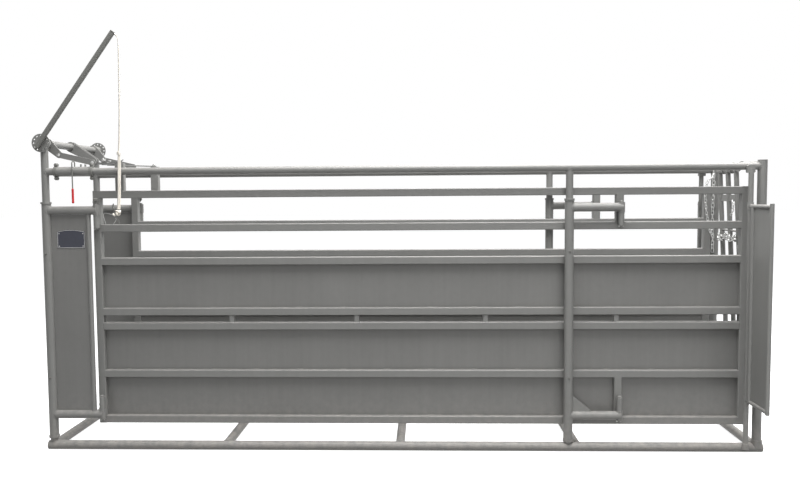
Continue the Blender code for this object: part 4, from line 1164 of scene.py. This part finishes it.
@dataclass(frozen=True)
class FrictionLock(Assembly):
    """Fittings of the lock on the near top rail."""

    clamp_xs: tuple[float, float] = (0.078, 0.32)
    clamp_depth: float = 0.01
    bolt_offset: float = 0.045
    bolt_across: float = 0.0195
    bolt_stud: float = 0.005
    grip_top: float = 1.779
    grip_bottom: float = 1.681
    grip_radius: float = 0.0075
    grip_ribs: int = 8
    rib_depth: float = 0.0008
    rod_place: tuple[float, float] = (0.203, -0.04)

    def build(self) -> None:
        """Make the clamps' nuts and the ribbed grip."""
        nuts = self.draft("clamp_nuts")
        for x in self.clamp_xs:
            for sign in (-1, 1):
                z = self.plan.rail_z + sign * self.bolt_offset
                near, far = Vector((x, -self.clamp_depth, z)), Vector((x, self.clamp_depth, z))
                nuts.bolt_head(near, Facing.NEAR, self.bolt_across)
                nuts.bolt_head(far, Facing.FAR, self.bolt_across, self.bolt_stud)
        nuts.finish("lever_paint", "frame")
        self.build_grip()

    def build_grip(self) -> None:
        """Dipped grip with finger ribs and a rounded end."""
        length = self.grip_top - self.grip_bottom
        profile = [(0.0018, 0.0), (0.0045, 0.0005), (0.0064, 0.0024), (self.grip_radius, 0.006)]
        groove = self.grip_radius - self.rib_depth
        start, end = 0.012, length - 0.016
        step = (end - start) / self.grip_ribs
        for number in range(self.grip_ribs):
            at = start + step * number
            profile += [
                (self.grip_radius, at), (self.grip_radius, at + step * 0.45),
                (groove, at + step * 0.6), (groove, at + step * 0.85),
            ]
        profile += [
            (self.grip_radius, end + 0.002), (self.grip_radius, length - 0.006),
            (self.grip_radius - 0.0014, length - 0.002), (0.0046, length),
        ]
        draft = self.draft("ribbed_grip")
        x, y = self.rod_place
        draft.lathe(Vector((x, y, self.grip_bottom)), UP, profile, 20)
        draft.finish("red_grip", "lock", ["red_grip"])


@dataclass(frozen=True)
class HingeSets(Assembly):
    """Welds, pin heads, split pins, knobs and grease bolts of the arms on the left and middle posts."""

    collar_radius: float = 0.034
    eye_half: float = 0.033
    lug_height: float = 0.088
    upper_head_rise: float = 0.0077
    lower_head_rise: float = 0.0086
    upper_foot_drop: float = 0.0048
    lower_foot_drop: float = 0.0075
    cotter_half: float = 0.014
    stitch_start: float = 0.33
    stitch_pitch: float = 0.198
    stitch_length: float = 0.045
    stitch_count: int = 7
    sheet_half: float = 0.0022
    arm_bead: float = 0.0032
    stile_bead: float = 0.0026
    eye_bead: float = 0.0024
    stitch_bead: float = 0.002
    bolt_heights: tuple[float, float] = (1.345, 0.5)
    bolt_sink: float = 0.0006
    knob_foot: float = 1.686
    stile_x: float = 0.285
    stile_radius: float = 0.0158
    eye_radius: float = 0.022
    arm_end: float = 0.009

    def build(self) -> None:
        """Make the fittings of all four sets."""
        for side in Side:
            self.build_arm_welds(side, 0.0, f"{side}_swing")
            self.build_arm_welds(side, self.plan.middle_x, f"{side}_middle")
            self.build_sleeve_bolts(side)

    def build_arm_welds(self, side: Side, post_x: float, body: str) -> None:
        """Beads round the arms' ends, and the heads and split pins of the hinge pins.

        Args:
            side: The alley's side.
            post_x: Where the post stands.
            body: The body that the arms belong to.
        """
        plan = self.plan
        sleeve, arm = plan.sleeve_radius + BROAD_LIFT, plan.arm_radius + BROAD_LIFT
        welds = self.draft(f"{body}_welds")
        for z in plan.arm_zs:
            welds.joint_bead(plan.at(side, post_x, 0.0, z), UP, ALONG, sleeve, arm, self.arm_bead)
            tip = plan.at(side, post_x + plan.arm_length, 0.0, z)
            for way in (UP, -UP):
                ring = saddle(tip, ALONG, way, plan.arm_radius + LIFT, self.eye_radius + LIFT)
                reach = tip.x + self.arm_end - 0.003
                welds.bead([point for point in ring if point.x < reach], self.eye_bead)
        if body.endswith("swing"):
            stile = plan.at(side, post_x + self.stile_x, 0.0, 0.0)
            for z, way in zip(plan.arm_zs, (-UP, UP)):
                welds.joint_bead(stile + UP * z, ALONG, way, arm, self.stile_radius, self.stile_bead)
            for x in (post_x + plan.sleeve_radius + 0.002, post_x + self.stile_x - 0.0165):
                for number in range(self.stitch_count):
                    z = self.stitch_start + self.stitch_pitch * number
                    for offset in (-ACROSS * self.sheet_half, ACROSS * self.sheet_half):
                        foot = plan.at(side, x, 0.0, z) + offset
                        welds.bead([foot, foot + UP * self.stitch_length], self.stitch_bead)
        else:
            foot = plan.at(side, post_x, 0.0, plan.arm_zs[1])
            for offset in (-0.0046, 0.0046):
                inner = foot + Vector((plan.sleeve_radius, offset, plan.arm_radius))
                welds.bead([inner + UP * 0.004, inner + UP * 0.11], self.eye_bead)
                welds.bead([inner + ALONG * 0.004, inner + ALONG * 0.112], self.eye_bead)
        welds.finish("grey_paint", body)
        pins = self.draft(f"{body}_pin_fittings")
        upper, lower = plan.arm_zs
        for seat_z, foot_z in (
            (upper + self.eye_half + self.upper_head_rise,
             upper - self.eye_half - self.lug_height - self.upper_foot_drop),
            (lower + self.eye_half + self.lug_height + self.lower_head_rise,
             lower - self.eye_half - self.lower_foot_drop),
        ):
            pins.lathe(plan.at(side, post_x + plan.arm_length, 0.0, seat_z), UP, [
                (0.006, -0.0002), (0.006, 0.001), (0.0042, 0.0022), (0.0018, 0.0026),
            ], 14)
            cotter = plan.at(side, post_x + plan.arm_length, 0.0, foot_z)
            half = ALONG * self.cotter_half
            pins.sweep([cotter - half, cotter + half], 0.0016, 8)
            pins.sweep(circle(cotter - ALONG * 0.0165, ACROSS, 0.003, 14), 0.0012, 6, closed=True)
        pins.finish("bright_zinc", body)

    def build_sleeve_bolts(self, side: Side) -> None:
        """Grease bolts in the sleeves, the hinge pin's knob, and the near left collar's set screw.

        Args:
            side: The alley's side.
        """
        plan = self.plan
        for body, post_x in ((f"{side}_swing", 0.0), (f"{side}_middle", plan.middle_x)):
            bolts = self.draft(f"{body}_grease_bolts")
            for z in self.bolt_heights:
                seat = plan.at(side, post_x, self.bolt_sink - plan.sleeve_radius, z)
                bolts.lathe(seat, Vector(side.outward.value), [
                    (0.0085, 0.0), (0.0085, 0.0022), (0.0062, 0.0034), (0.0058, 0.008), (0.0046, 0.0092),
                ], 6)
            bolts.finish("lever_paint", body)
        knob = self.draft(f"{side}_hinge_pin_knob")
        knob.lathe(plan.at(side, plan.arm_length - 0.004, 0.0, self.knob_foot), UP, [
            (0.0085, -0.001), (0.0085, 0.007), (0.0155, 0.01), (0.017, 0.018), (0.015, 0.026),
            (0.006, 0.03),
        ])
        knob.finish("lever_paint", f"{side}_swing")
        if side is Side.FRONT:
            screw = self.draft("left_collar_screw")
            start = Vector((-self.collar_radius + LIFT, 0.0, plan.sleeve_top + 0.0073))
            screw.lathe(start, -ALONG, [(0.005, 0.0), (0.005, 0.0062), (0.004, 0.0072)], 6)
            screw.finish("grey_paint", "frame")


@dataclass(frozen=True)
class SidePanels(Assembly):
    """Weld beads of the two side panels, and the hook, chain and wire at the near one's left end."""

    tube: float = 0.0508
    near_face: float = 0.036
    left: float = 0.3
    right: float = 4.679
    rail_bottoms: tuple[float, ...] = (0.172, 0.488, 0.815, 0.914, 1.258, 1.485, 1.713)
    stub_xs: tuple[float, ...] = (1.23, 2.08, 2.948, 3.82)
    stub_width: float = 0.034
    pin_stile_depth: float = 0.07
    sheet_depth: float = 0.036
    stitch_start: float = 0.18
    stitch_pitch: float = 0.297
    stitch_length: float = 0.04
    stitch_count: int = 14
    bar_bead: float = 0.0021
    stitch_bead: float = 0.0022
    hanger_x: float = 0.485
    hanger_top: float = 1.95

    def frame_line(self, side: Side, x: float, z: float, corner: float = 0.0015) -> Path:
        """The square line round a bar's end, where it meets a stile.

        Args:
            side: The alley's side.
            x: Where the bar ends.
            z: Height of the bar's underside.
            corner: How far the line cuts in from the tube's corners.

        Returns:
            The line's four corners.
        """
        near, far = self.near_face + corner, self.near_face + self.tube - corner
        return [
            self.plan.at(side, x, depth, height)
            for depth, height in (
                (near, z + corner), (far, z + corner), (far, z + self.tube - corner),
                (near, z + self.tube - corner),
            )
        ]

    def build(self) -> None:
        """Make the welds of both panels and what hangs on the near one."""
        for side in Side:
            self.build_welds(side)
        self.build_hanger_hook()
        self.build_panel_chains()

    def build_welds(self, side: Side) -> None:
        """Beads at the bars' ends, the stubs and the pins' stiles, and stitched along the sheets.

        Args:
            side: The alley's side.
        """
        plan = self.plan
        welds = self.draft(f"{side}_panel_welds")
        ends = (self.left + self.tube + LIFT, self.right - self.tube - LIFT)
        for z in self.rail_bottoms:
            for x in ends:
                welds.bead(self.frame_line(side, x, z), self.bar_bead, closed=True)
        half = self.stub_width / 2
        near, far = self.near_face + 0.006, self.near_face + self.tube - 0.006
        for x in self.stub_xs:
            for z in (self.rail_bottoms[2] + self.tube + LIFT, self.rail_bottoms[3] - 0.001):
                line = [
                    plan.at(side, x + dx, depth, z)
                    for dx, depth in ((-half, near), (-half, far), (half, far), (half, near))
                ]
                welds.bead(line, self.stitch_bead, closed=True)
        pin_x = plan.middle_x + plan.arm_length
        for low, high in ((0, 1), (5, 6)):
            for z in (self.rail_bottoms[low] + self.tube + BROAD_LIFT, self.rail_bottoms[high] - BROAD_LIFT):
                for x in (pin_x - self.tube / 2, pin_x + self.tube / 2):
                    depths = (self.near_face, self.pin_stile_depth)
                    line = [plan.at(side, x, depth, z) for depth in depths]
                    welds.bead(line, self.bar_bead)
        sheet = self.near_face + self.sheet_depth - 0.0006
        for lower, upper in ((0, 1), (1, 2), (3, 4)):
            low, high = self.rail_bottoms[lower] + self.tube, self.rail_bottoms[upper]
            for z in (low + 0.0012, high - 0.0012):
                for number in range(self.stitch_count):
                    x = self.left + self.stitch_start + self.stitch_pitch * number
                    start = plan.at(side, x, sheet, z)
                    welds.bead([start, start + ALONG * self.stitch_length], self.stitch_bead)
        welds.finish("grey_paint", f"{side}_panel")

    def build_hanger_hook(self) -> None:
        """Small bent hook on the near hanger's head."""
        foot = Vector((self.hanger_x + 0.018, self.near_face + 0.012, self.hanger_top - 0.001))
        curve = [foot + Vector(step) for step in (
            (0.0, 0.0, 0.0), (-0.002, 0.0, 0.008), (-0.001, 0.0, 0.015), (0.006, 0.0, 0.021),
            (0.013, 0.0, 0.022),
        )]
        hook = self.draft("hanger_hook")
        hook.sweep(smoothed(curve), lambda number, turn: 0.005 - 0.00008 * number, 10)
        hook.finish("lever_paint", "front_panel")

    def build_panel_chains(self) -> None:
        """Dark hooked chain and thin wire loop that hang at the near panel's upper left corner."""
        y = self.near_face + 0.018
        hook = self.draft("corner_hook_chain")
        places = ((0.436, 1.676), (0.428, 1.655), (0.44, 1.636), (0.434, 1.618), (0.446, 1.594))
        hook.sweep(smoothed([Vector((x, y, z)) for x, z in places]), 0.0042, 8)
        hook.chain([Vector((0.446, y, 1.592)), Vector((0.461, y, 1.566)), Vector((0.474, y, 1.541))],
                   0.021, 0.014, 0.0036)
        hook.finish("lever_paint", "front_panel")
        loop = self.draft("corner_wire_loop")
        places = (
            (0.381, 1.537), (0.374, 1.562), (0.366, 1.602), (0.384, 1.612), (0.413, 1.606), (0.436, 1.597),
            (0.452, 1.572), (0.442, 1.551), (0.43, 1.538),
        )
        loop.sweep(smoothed([Vector((x, y - 0.004, z)) for x, z in places]), 0.0016, 8)
        loop.finish("bright_zinc", "front_panel")


@dataclass(frozen=True)
class FixedFrame(Assembly):
    """Weld beads, cap rims and chains of the frame that stands still."""

    guide_radius: float = 0.0167
    end_post_radius: float = 0.03015
    end_post_top: float = 1.935
    cross_count: int = 5
    loop_y: float = 0.675
    lowest_weld: float = 0.0036
    flange_weld_z: float = 0.0812
    guide_weld_z: float = 0.069
    cross_bead: float = 0.0034
    foot_bead: float = 0.0032
    rail_bead: float = 0.0028
    flange_bead: float = 0.003
    guide_bead: float = 0.0022
    cap_bead: float = 0.0018

    def build(self) -> None:
        """Make all the fixed fittings."""
        self.build_welds()
        self.build_caps()
        self.build_chain()

    def build_welds(self) -> None:
        """Beads where the frame's tubes meet."""
        plan = self.plan
        welds = self.draft("frame_welds")
        base = plan.base_radius
        for side in Side:
            into = ACROSS if side is Side.FRONT else -ACROSS
            spacing = plan.post_spacing / (self.cross_count - 1)
            for number in range(self.cross_count):
                middle = plan.at(side, spacing * number, 0.0, base)
                ring = saddle(middle, ALONG, into, base + BROAD_LIFT, base + 0.0004)
                for point in ring:
                    point.z = max(point.z, self.lowest_weld)
                welds.bead(ring, self.cross_bead, closed=True)
            post, rail, end_post = plan.post_radius, plan.rail_radius, self.end_post_radius
            for x, z, run, branch, run_radius, branch_radius, radius in (
                (0.0, base, ALONG, UP, base + LIFT, post + LIFT, self.foot_bead),
                (plan.middle_x, base, ALONG, UP, base + LIFT, post + LIFT, self.foot_bead),
                (plan.middle_x, plan.rail_z, ALONG, -UP, rail + 0.0006, post - 0.0002, self.rail_bead),
                (0.0, plan.rail_z, UP, ALONG, post + LIFT, rail - 0.0002, self.rail_bead),
                (plan.post_spacing, plan.rail_z, UP, -ALONG, end_post + LIFT, rail, self.rail_bead),
            ):
                middle = plan.at(side, x, 0.0, z)
                welds.joint_bead(middle, run, branch, run_radius, branch_radius, radius)
            foot = plan.at(side, plan.post_spacing, 0.0, self.flange_weld_z)
            welds.ring_bead(foot, UP, end_post + 0.001, self.flange_bead)
            guide = plan.guide(side, self.guide_weld_z)
            welds.ring_bead(guide, UP, self.guide_radius + BROAD_LIFT, self.guide_bead)
        welds.finish("grey_paint", "frame")

    def build_caps(self) -> None:
        """Rims of the flat caps on the right posts' heads."""
        plan = self.plan
        for side in Side:
            caps = self.draft(f"{side}_post_cap_bead")
            rim = plan.at(side, plan.post_spacing, 0.0, self.end_post_top - 0.003)
            caps.ring_bead(rim, UP, self.end_post_radius - 0.001, self.cap_bead)
            caps.finish("grey_paint", "frame")

    def build_chain(self) -> None:
        """Hanging chain beside the end gate, link by link, and the slack chain beside it."""
        low, high = own_box("hanging_chain")
        middle = (low + high) / 2
        chain = self.draft("hanging_chain_links")
        route = [
            Vector((middle.x + 0.0025 * math.sin(share * 9.0), middle.y, high.z + (low.z - high.z) * share))
            for share in (number / 24 for number in range(25))
        ]
        chain.chain(route, 0.042, 0.0255, 0.0068)
        chain.finish("bright_zinc", "frame", ["hanging_chain"])
        loop = self.draft("slack_chain_links")
        places = (
            (middle.x - 0.022, 1.86), (4.642, 1.8), (4.629, 1.708), (4.632, 1.664), (4.636, 1.616),
            (4.642, 1.559), (4.651, 1.519), (4.665, 1.446), (4.681, 1.413), (4.693, 1.389),
        )
        loop.chain(smoothed([Vector((x, self.loop_y, z)) for x, z in places]), 0.034, 0.021, 0.0054)
        loop.finish("bright_zinc", "frame")


@dataclass(frozen=True)
class EndGate(Assembly):
    """Welds and latch chain of the gate that hangs at the alley's right end."""

    hinge: tuple[float, float] = (4.676, 1.88)
    lean: float = math.radians(3.2)
    bar_radius: float = 0.0167
    spacing: float = 0.138
    crossbar_zs: tuple[float, float] = (1.456, 1.391)
    crossbar_weld_radius: float = 0.0078
    chain_z: float = 1.424
    upper_chain_z: float = 1.64
    link_size: tuple[float, float, float] = (0.036, 0.024, 0.0058)
    small_link_size: tuple[float, float, float] = (0.03, 0.019, 0.0048)

    def on_bar(self, y: float, z: float) -> Vector:
        """A point on the axis of a gate bar."""
        return Vector((self.hinge[0] + (self.hinge[1] - z) * math.tan(self.lean), y, z))

    def build(self) -> None:
        """Make the gate's welds and chain."""
        middle = self.plan.width / 2
        ys = [middle + self.spacing * number for number in (-1, 0, 1)]
        welds = self.draft("gate_welds")
        for y in ys:
            top = Vector((self.hinge[0], y, self.hinge[1]))
            welds.joint_bead(top, ACROSS, -UP, self.bar_radius + LIFT, self.bar_radius - 0.0003, 0.0026)
            for z in self.crossbar_zs:
                point = self.on_bar(y, z)
                for sign in (-1, 1):
                    place = point + ACROSS * (sign * self.bar_radius)
                    welds.ring_bead(place, ACROSS, self.crossbar_weld_radius, 0.0018, 14)
        welds.finish("grey_paint", "end_gate")
        self.build_gate_chain(ys)

    def build_gate_chain(self, ys: Sequence[float]) -> None:
        """Latch chain wound twice round the gate's bars, with its end hanging, and a short one above.

        Args:
            ys: Depths of the gate's bars, the nearest first.
        """
        reach = self.bar_radius + 0.01
        near, far = (self.on_bar(y, self.chain_z) for y in (ys[0], ys[2]))
        round_bars = [
            near + Vector((-reach, -0.004, 0.004)), near + Vector((-reach, 0.06, -0.012)),
            (near + far) / 2 + Vector((-reach, 0.0, 0.006)), far + Vector((-reach, -0.055, -0.014)),
            far + Vector((-reach, 0.004, 0.002)), far + Vector((0.0, reach, -0.002)),
            far + Vector((reach, 0.0, 0.0)), (near + far) / 2 + Vector((reach, 0.0, -0.014)),
            near + Vector((reach, 0.0, 0.0)), near + Vector((0.0, -reach, 0.002)),
        ]
        chain = self.draft("gate_latch_chain")
        chain.chain(smoothed(round_bars, 6), *self.link_size)
        second = [
            point + Vector((math.copysign(0.007, point.x - near.x), 0.0, -0.026 if number % 2 else -0.02))
            for number, point in enumerate(round_bars)
        ]
        hanging = [
            second[-1] + Vector(step) for step in ((-0.01, 0.004, -0.02), (-0.014, 0.006, -0.085))
        ]
        chain.chain(smoothed(second + hanging, 6), *self.link_size)
        upper = self.on_bar(ys[0], self.upper_chain_z) - ALONG * reach
        chain.chain(smoothed([
            upper + Vector((0.0, 0.02, 0.03)), upper + Vector((0.0, 0.006, 0.0)),
            upper + Vector((0.0, 0.016, -0.045)), upper + Vector((0.004, 0.05, -0.075)),
        ], 6), *self.small_link_size)
        chain.finish("bright_zinc", "end_gate")


@dataclass(frozen=True)
class Wings(Assembly):
    """Weld beads of the two wings."""

    length: float = 0.293
    top: float = 1.633
    bottom: float = 0.36
    tube_radius: float = 0.01335
    barrel_radius: float = 0.02
    inner_offset: float = 0.045
    inner_radius: float = 0.0167
    front_angle: float = math.radians(0.5)
    rear_angle: float = math.radians(18.5)
    stitch_start: float = 0.07
    stitch_pitch: float = 0.185
    stitch_length: float = 0.045
    stitch_count: int = 7
    sheet_half: float = 0.0022

    def build(self) -> None:
        """Make the fittings of both wings."""
        square = math.radians(90.0)
        for side, heading in (
            (Side.FRONT, self.front_angle - square), (Side.REAR, square - self.rear_angle),
        ):
            hinge = self.plan.guide(side, 0.0)
            step = Vector((math.cos(heading), math.sin(heading), 0.0))
            welds = self.draft(f"{side}_wing_welds")
            for z in (self.top, self.bottom):
                tube = self.tube_radius
                welds.joint_bead(hinge + UP * z, UP, step, self.barrel_radius + LIFT, tube, 0.0026)
                stile = hinge + step * self.length + UP * z
                welds.joint_bead(stile, UP, -step, tube + LIFT, tube - 0.0004, 0.0024)
            side_step = UP.cross(step)
            inner = self.inner_offset + self.inner_radius + 0.001
            for reach in (inner, self.length - self.tube_radius - 0.001):
                for offset in (-self.sheet_half, self.sheet_half):
                    place = hinge + step * reach + side_step * offset
                    for number in range(self.stitch_count):
                        z = self.bottom + self.stitch_start + self.stitch_pitch * number
                        welds.bead([place + UP * z, place + UP * (z + self.stitch_length)], 0.002)
            welds.finish("grey_paint", f"{side}_wing")


@dataclass(frozen=True)
class BlankBadge(Assembly):
    """Raised rim and rivets of the bare plate on the near swing sheet."""

    width: float = 0.189
    height: float = 0.125
    arch: float = 0.014
    middle: tuple[float, float] = (0.163, 1.442)
    face: float = -0.004
    rim_inset: float = 0.0035
    rim_radius: float = 0.0013
    rivet_xs: tuple[float, float] = (-0.081, 0.081)
    rivet_zs: tuple[float, float] = (-0.049, 0.036)

    def build(self) -> None:
        """Make the rim and the rivets."""
        reach = self.width / 2 - self.rim_inset
        radius = ((self.width / 2) ** 2 + self.arch ** 2) / (2 * self.arch)
        crown = self.height / 2 - radius
        spread = math.asin(reach / radius)
        x, z = self.middle
        outline = []
        for number in range(13):
            turn = math.pi / 2 - spread + 2 * spread * number / 12
            rise = crown + (radius - self.rim_inset) * math.sin(turn)
            outline.append(Vector((x + radius * math.cos(turn), self.face, z + rise)))
        foot = z - self.height / 2 + self.rim_inset
        outline += [Vector((x - reach, self.face, foot)), Vector((x + reach, self.face, foot))]
        rim = self.draft("plate_rim")
        rim.sweep(resampled(outline, 0.006, closed=True), self.rim_radius, 8, closed=True)
        rim.finish("bright_zinc", "front_swing")
        rivets = self.draft("plate_rivets")
        for dx in self.rivet_xs:
            for dz in self.rivet_zs:
                rivets.lathe(Vector((x + dx, self.face + 0.0003, z + dz)), -ACROSS, [
                    (0.0034, 0.0), (0.0032, 0.0008), (0.0022, 0.0016), (0.0006, 0.0019),
                ], 14)
        rivets.finish("bright_zinc", "front_swing")


@dataclass(frozen=True)
class Studio:
    """Pale floor, soft light and the camera at the photograph's angle."""

    camera_place: Point = (2.537, -4.904, 1.717)
    yaw: float = math.radians(1.85)
    pitch: float = math.radians(3.54)
    roll: float = math.radians(-0.4)
    lens: float = 33.3
    sensor: float = 36.0
    floor_size: float = 120.0
    floor_colour: Colour = (0.62, 0.62, 0.615)
    floor_bounce: Colour = (0.15, 0.15, 0.147)
    floor_glow: float = 0.87
    soft_light: float = 0.23

    def build(self) -> None:
        """Make the floor, lamps, world and camera."""
        self.build_camera()
        self.build_floor()
        self.build_world()
        self.build_lamp(
            "sky_lamp", place=(1.6, 0.0, 6.4), aim=(1.4, 0.1, 0.5), size=(9.0, 5.0), power=1320.0,
        )
        self.build_lamp(
            "front_lamp", place=(2.2, -7.8, 4.4), aim=(0.2, 0.0, 0.9), size=(5.0, 3.0), power=105.0,
        )
        bpy.context.scene.view_settings.view_transform = "Standard"

    def build_camera(self) -> None:
        """Set the camera where the photograph was taken from."""
        right = Vector((math.cos(self.yaw), math.sin(self.yaw), 0.0))
        ahead = Vector((-math.sin(self.yaw), math.cos(self.yaw), 0.0))
        view = ahead * math.cos(self.pitch) - UP * math.sin(self.pitch)
        above = UP * math.cos(self.pitch) + ahead * math.sin(self.pitch)
        side = right * math.cos(self.roll) + above * math.sin(self.roll)
        top = above * math.cos(self.roll) - right * math.sin(self.roll)
        data = bpy.data.cameras.new("photo_camera")
        data.lens = self.lens
        data.sensor_width = self.sensor
        camera = bpy.data.objects.new("photo_camera", data)
        turn = Matrix((side, top, -view)).transposed().to_4x4()
        camera.matrix_world = Matrix.Translation(Vector(self.camera_place) + ORIGIN) @ turn
        bpy.context.scene.collection.objects.link(camera)
        bpy.context.scene.camera = camera

    def build_floor(self) -> None:
        """A wide floor that reads as white, but keeps the part's shadow."""
        half = self.floor_size / 2
        mesh = bpy.data.meshes.new("floor")
        corners = [(-half, -half, 0.0), (half, -half, 0.0), (half, half, 0.0), (-half, half, 0.0)]
        mesh.from_pydata(corners, [], [(0, 1, 2, 3)])
        floor = bpy.data.objects.new("floor", mesh)
        bpy.context.scene.collection.objects.link(floor)
        tree = ShaderTree(bpy.data.materials.new("pale_floor"))
        bounce = tree.node("ShaderNodeBsdfDiffuse", {}, {"Color": self.floor_bounce})
        matt = tree.node("ShaderNodeBsdfDiffuse", {}, {"Color": self.floor_colour})
        glow = tree.node("ShaderNodeEmission", {}, {"Color": (1.0, 1.0, 1.0), "Strength": self.floor_glow})
        lit = tree.node("ShaderNodeAddShader", {}, {0: matt, 1: glow})
        mix = tree.node("ShaderNodeMixShader", {}, {0: self.seen_directly(tree), 1: bounce, 2: lit})
        mesh.materials.append(tree.output(mix))

    @staticmethod
    def seen_directly(tree: ShaderTree) -> Signal:
        """Tell rays that the camera sees, straight or by way of gloss or glass, from the rest.

        Args:
            tree: The tree to work in.

        Returns:
            1 for such rays and 0 for the others.
        """
        camera, glossy, through = (
            tree.node("ShaderNodeLightPath", {}, {}, f"Is {kind} Ray")
            for kind in ("Camera", "Glossy", "Transmission")
        )
        return (camera + glossy + through).clamped()

    def build_world(self) -> None:
        """White to the camera, and a softer white as light."""
        world = bpy.data.worlds.new("studio")
        bpy.context.scene.world = world
        tree = ShaderTree(world, "ShaderNodeOutputWorld")
        sockets = {"Color": (0.95, 0.98, 1.0), "Strength": self.soft_light}
        soft = tree.node("ShaderNodeBackground", {}, sockets)
        white = tree.node("ShaderNodeBackground", {}, {"Color": (1.0, 1.0, 1.0), "Strength": 1.0})
        tree.output(tree.node("ShaderNodeMixShader", {}, {0: self.seen_directly(tree), 1: soft, 2: white}))

    @staticmethod
    def build_lamp(name: str, place: Point, aim: Point, size: tuple[float, float], power: float) -> None:
        """Add one soft rectangular lamp.

        Args:
            name: The lamp's name.
            place: Where it stands, in the part's own frame.
            aim: The point that it looks at.
            size: Its width and height.
            power: Its power in watts.
        """
        data = bpy.data.lights.new(name, "AREA")
        data.shape = "RECTANGLE"
        data.size, data.size_y = size
        data.energy = power
        lamp = bpy.data.objects.new(name, data)
        turn = (Vector(aim) - Vector(place)).to_track_quat("-Z", "Y").to_matrix().to_4x4()
        lamp.matrix_world = Matrix.Translation(place) @ turn
        bpy.context.scene.collection.objects.link(lamp)


def clear_strays() -> None:
    """Remove what Blender's own start-up scene holds beside the loaded frame."""
    kept = set(frame["nodes"].values()) | set(frame["bodies"].values())
    for item in list(bpy.data.objects):
        if item not in kept:
            bpy.data.objects.remove(item, do_unlink=True)


def corners(bounds: Iterable[Vector]) -> list[list[float]]:
    """A box as plain lists of numbers."""
    return [[float(value) for value in corner] for corner in bounds]


def main() -> None:
    """Build the scene in order."""
    logging.basicConfig(level=logging.INFO, format="%(name)s: %(message)s")
    clear_strays()
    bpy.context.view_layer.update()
    plan = Plan.read()
    shop = PaintShop()
    Studio().build()
    PullRope(plan, shop).build()
    shop.dress_nodes()
    for kind in (
        AdjustingGear, FrictionLock, HingeSets, SidePanels, FixedFrame, EndGate, Wings, BlankBadge,
    ):
        LOG.info("building %s", kind.__name__)
        kind(plan, shop).build()


if __name__ == "__main__":
    main()
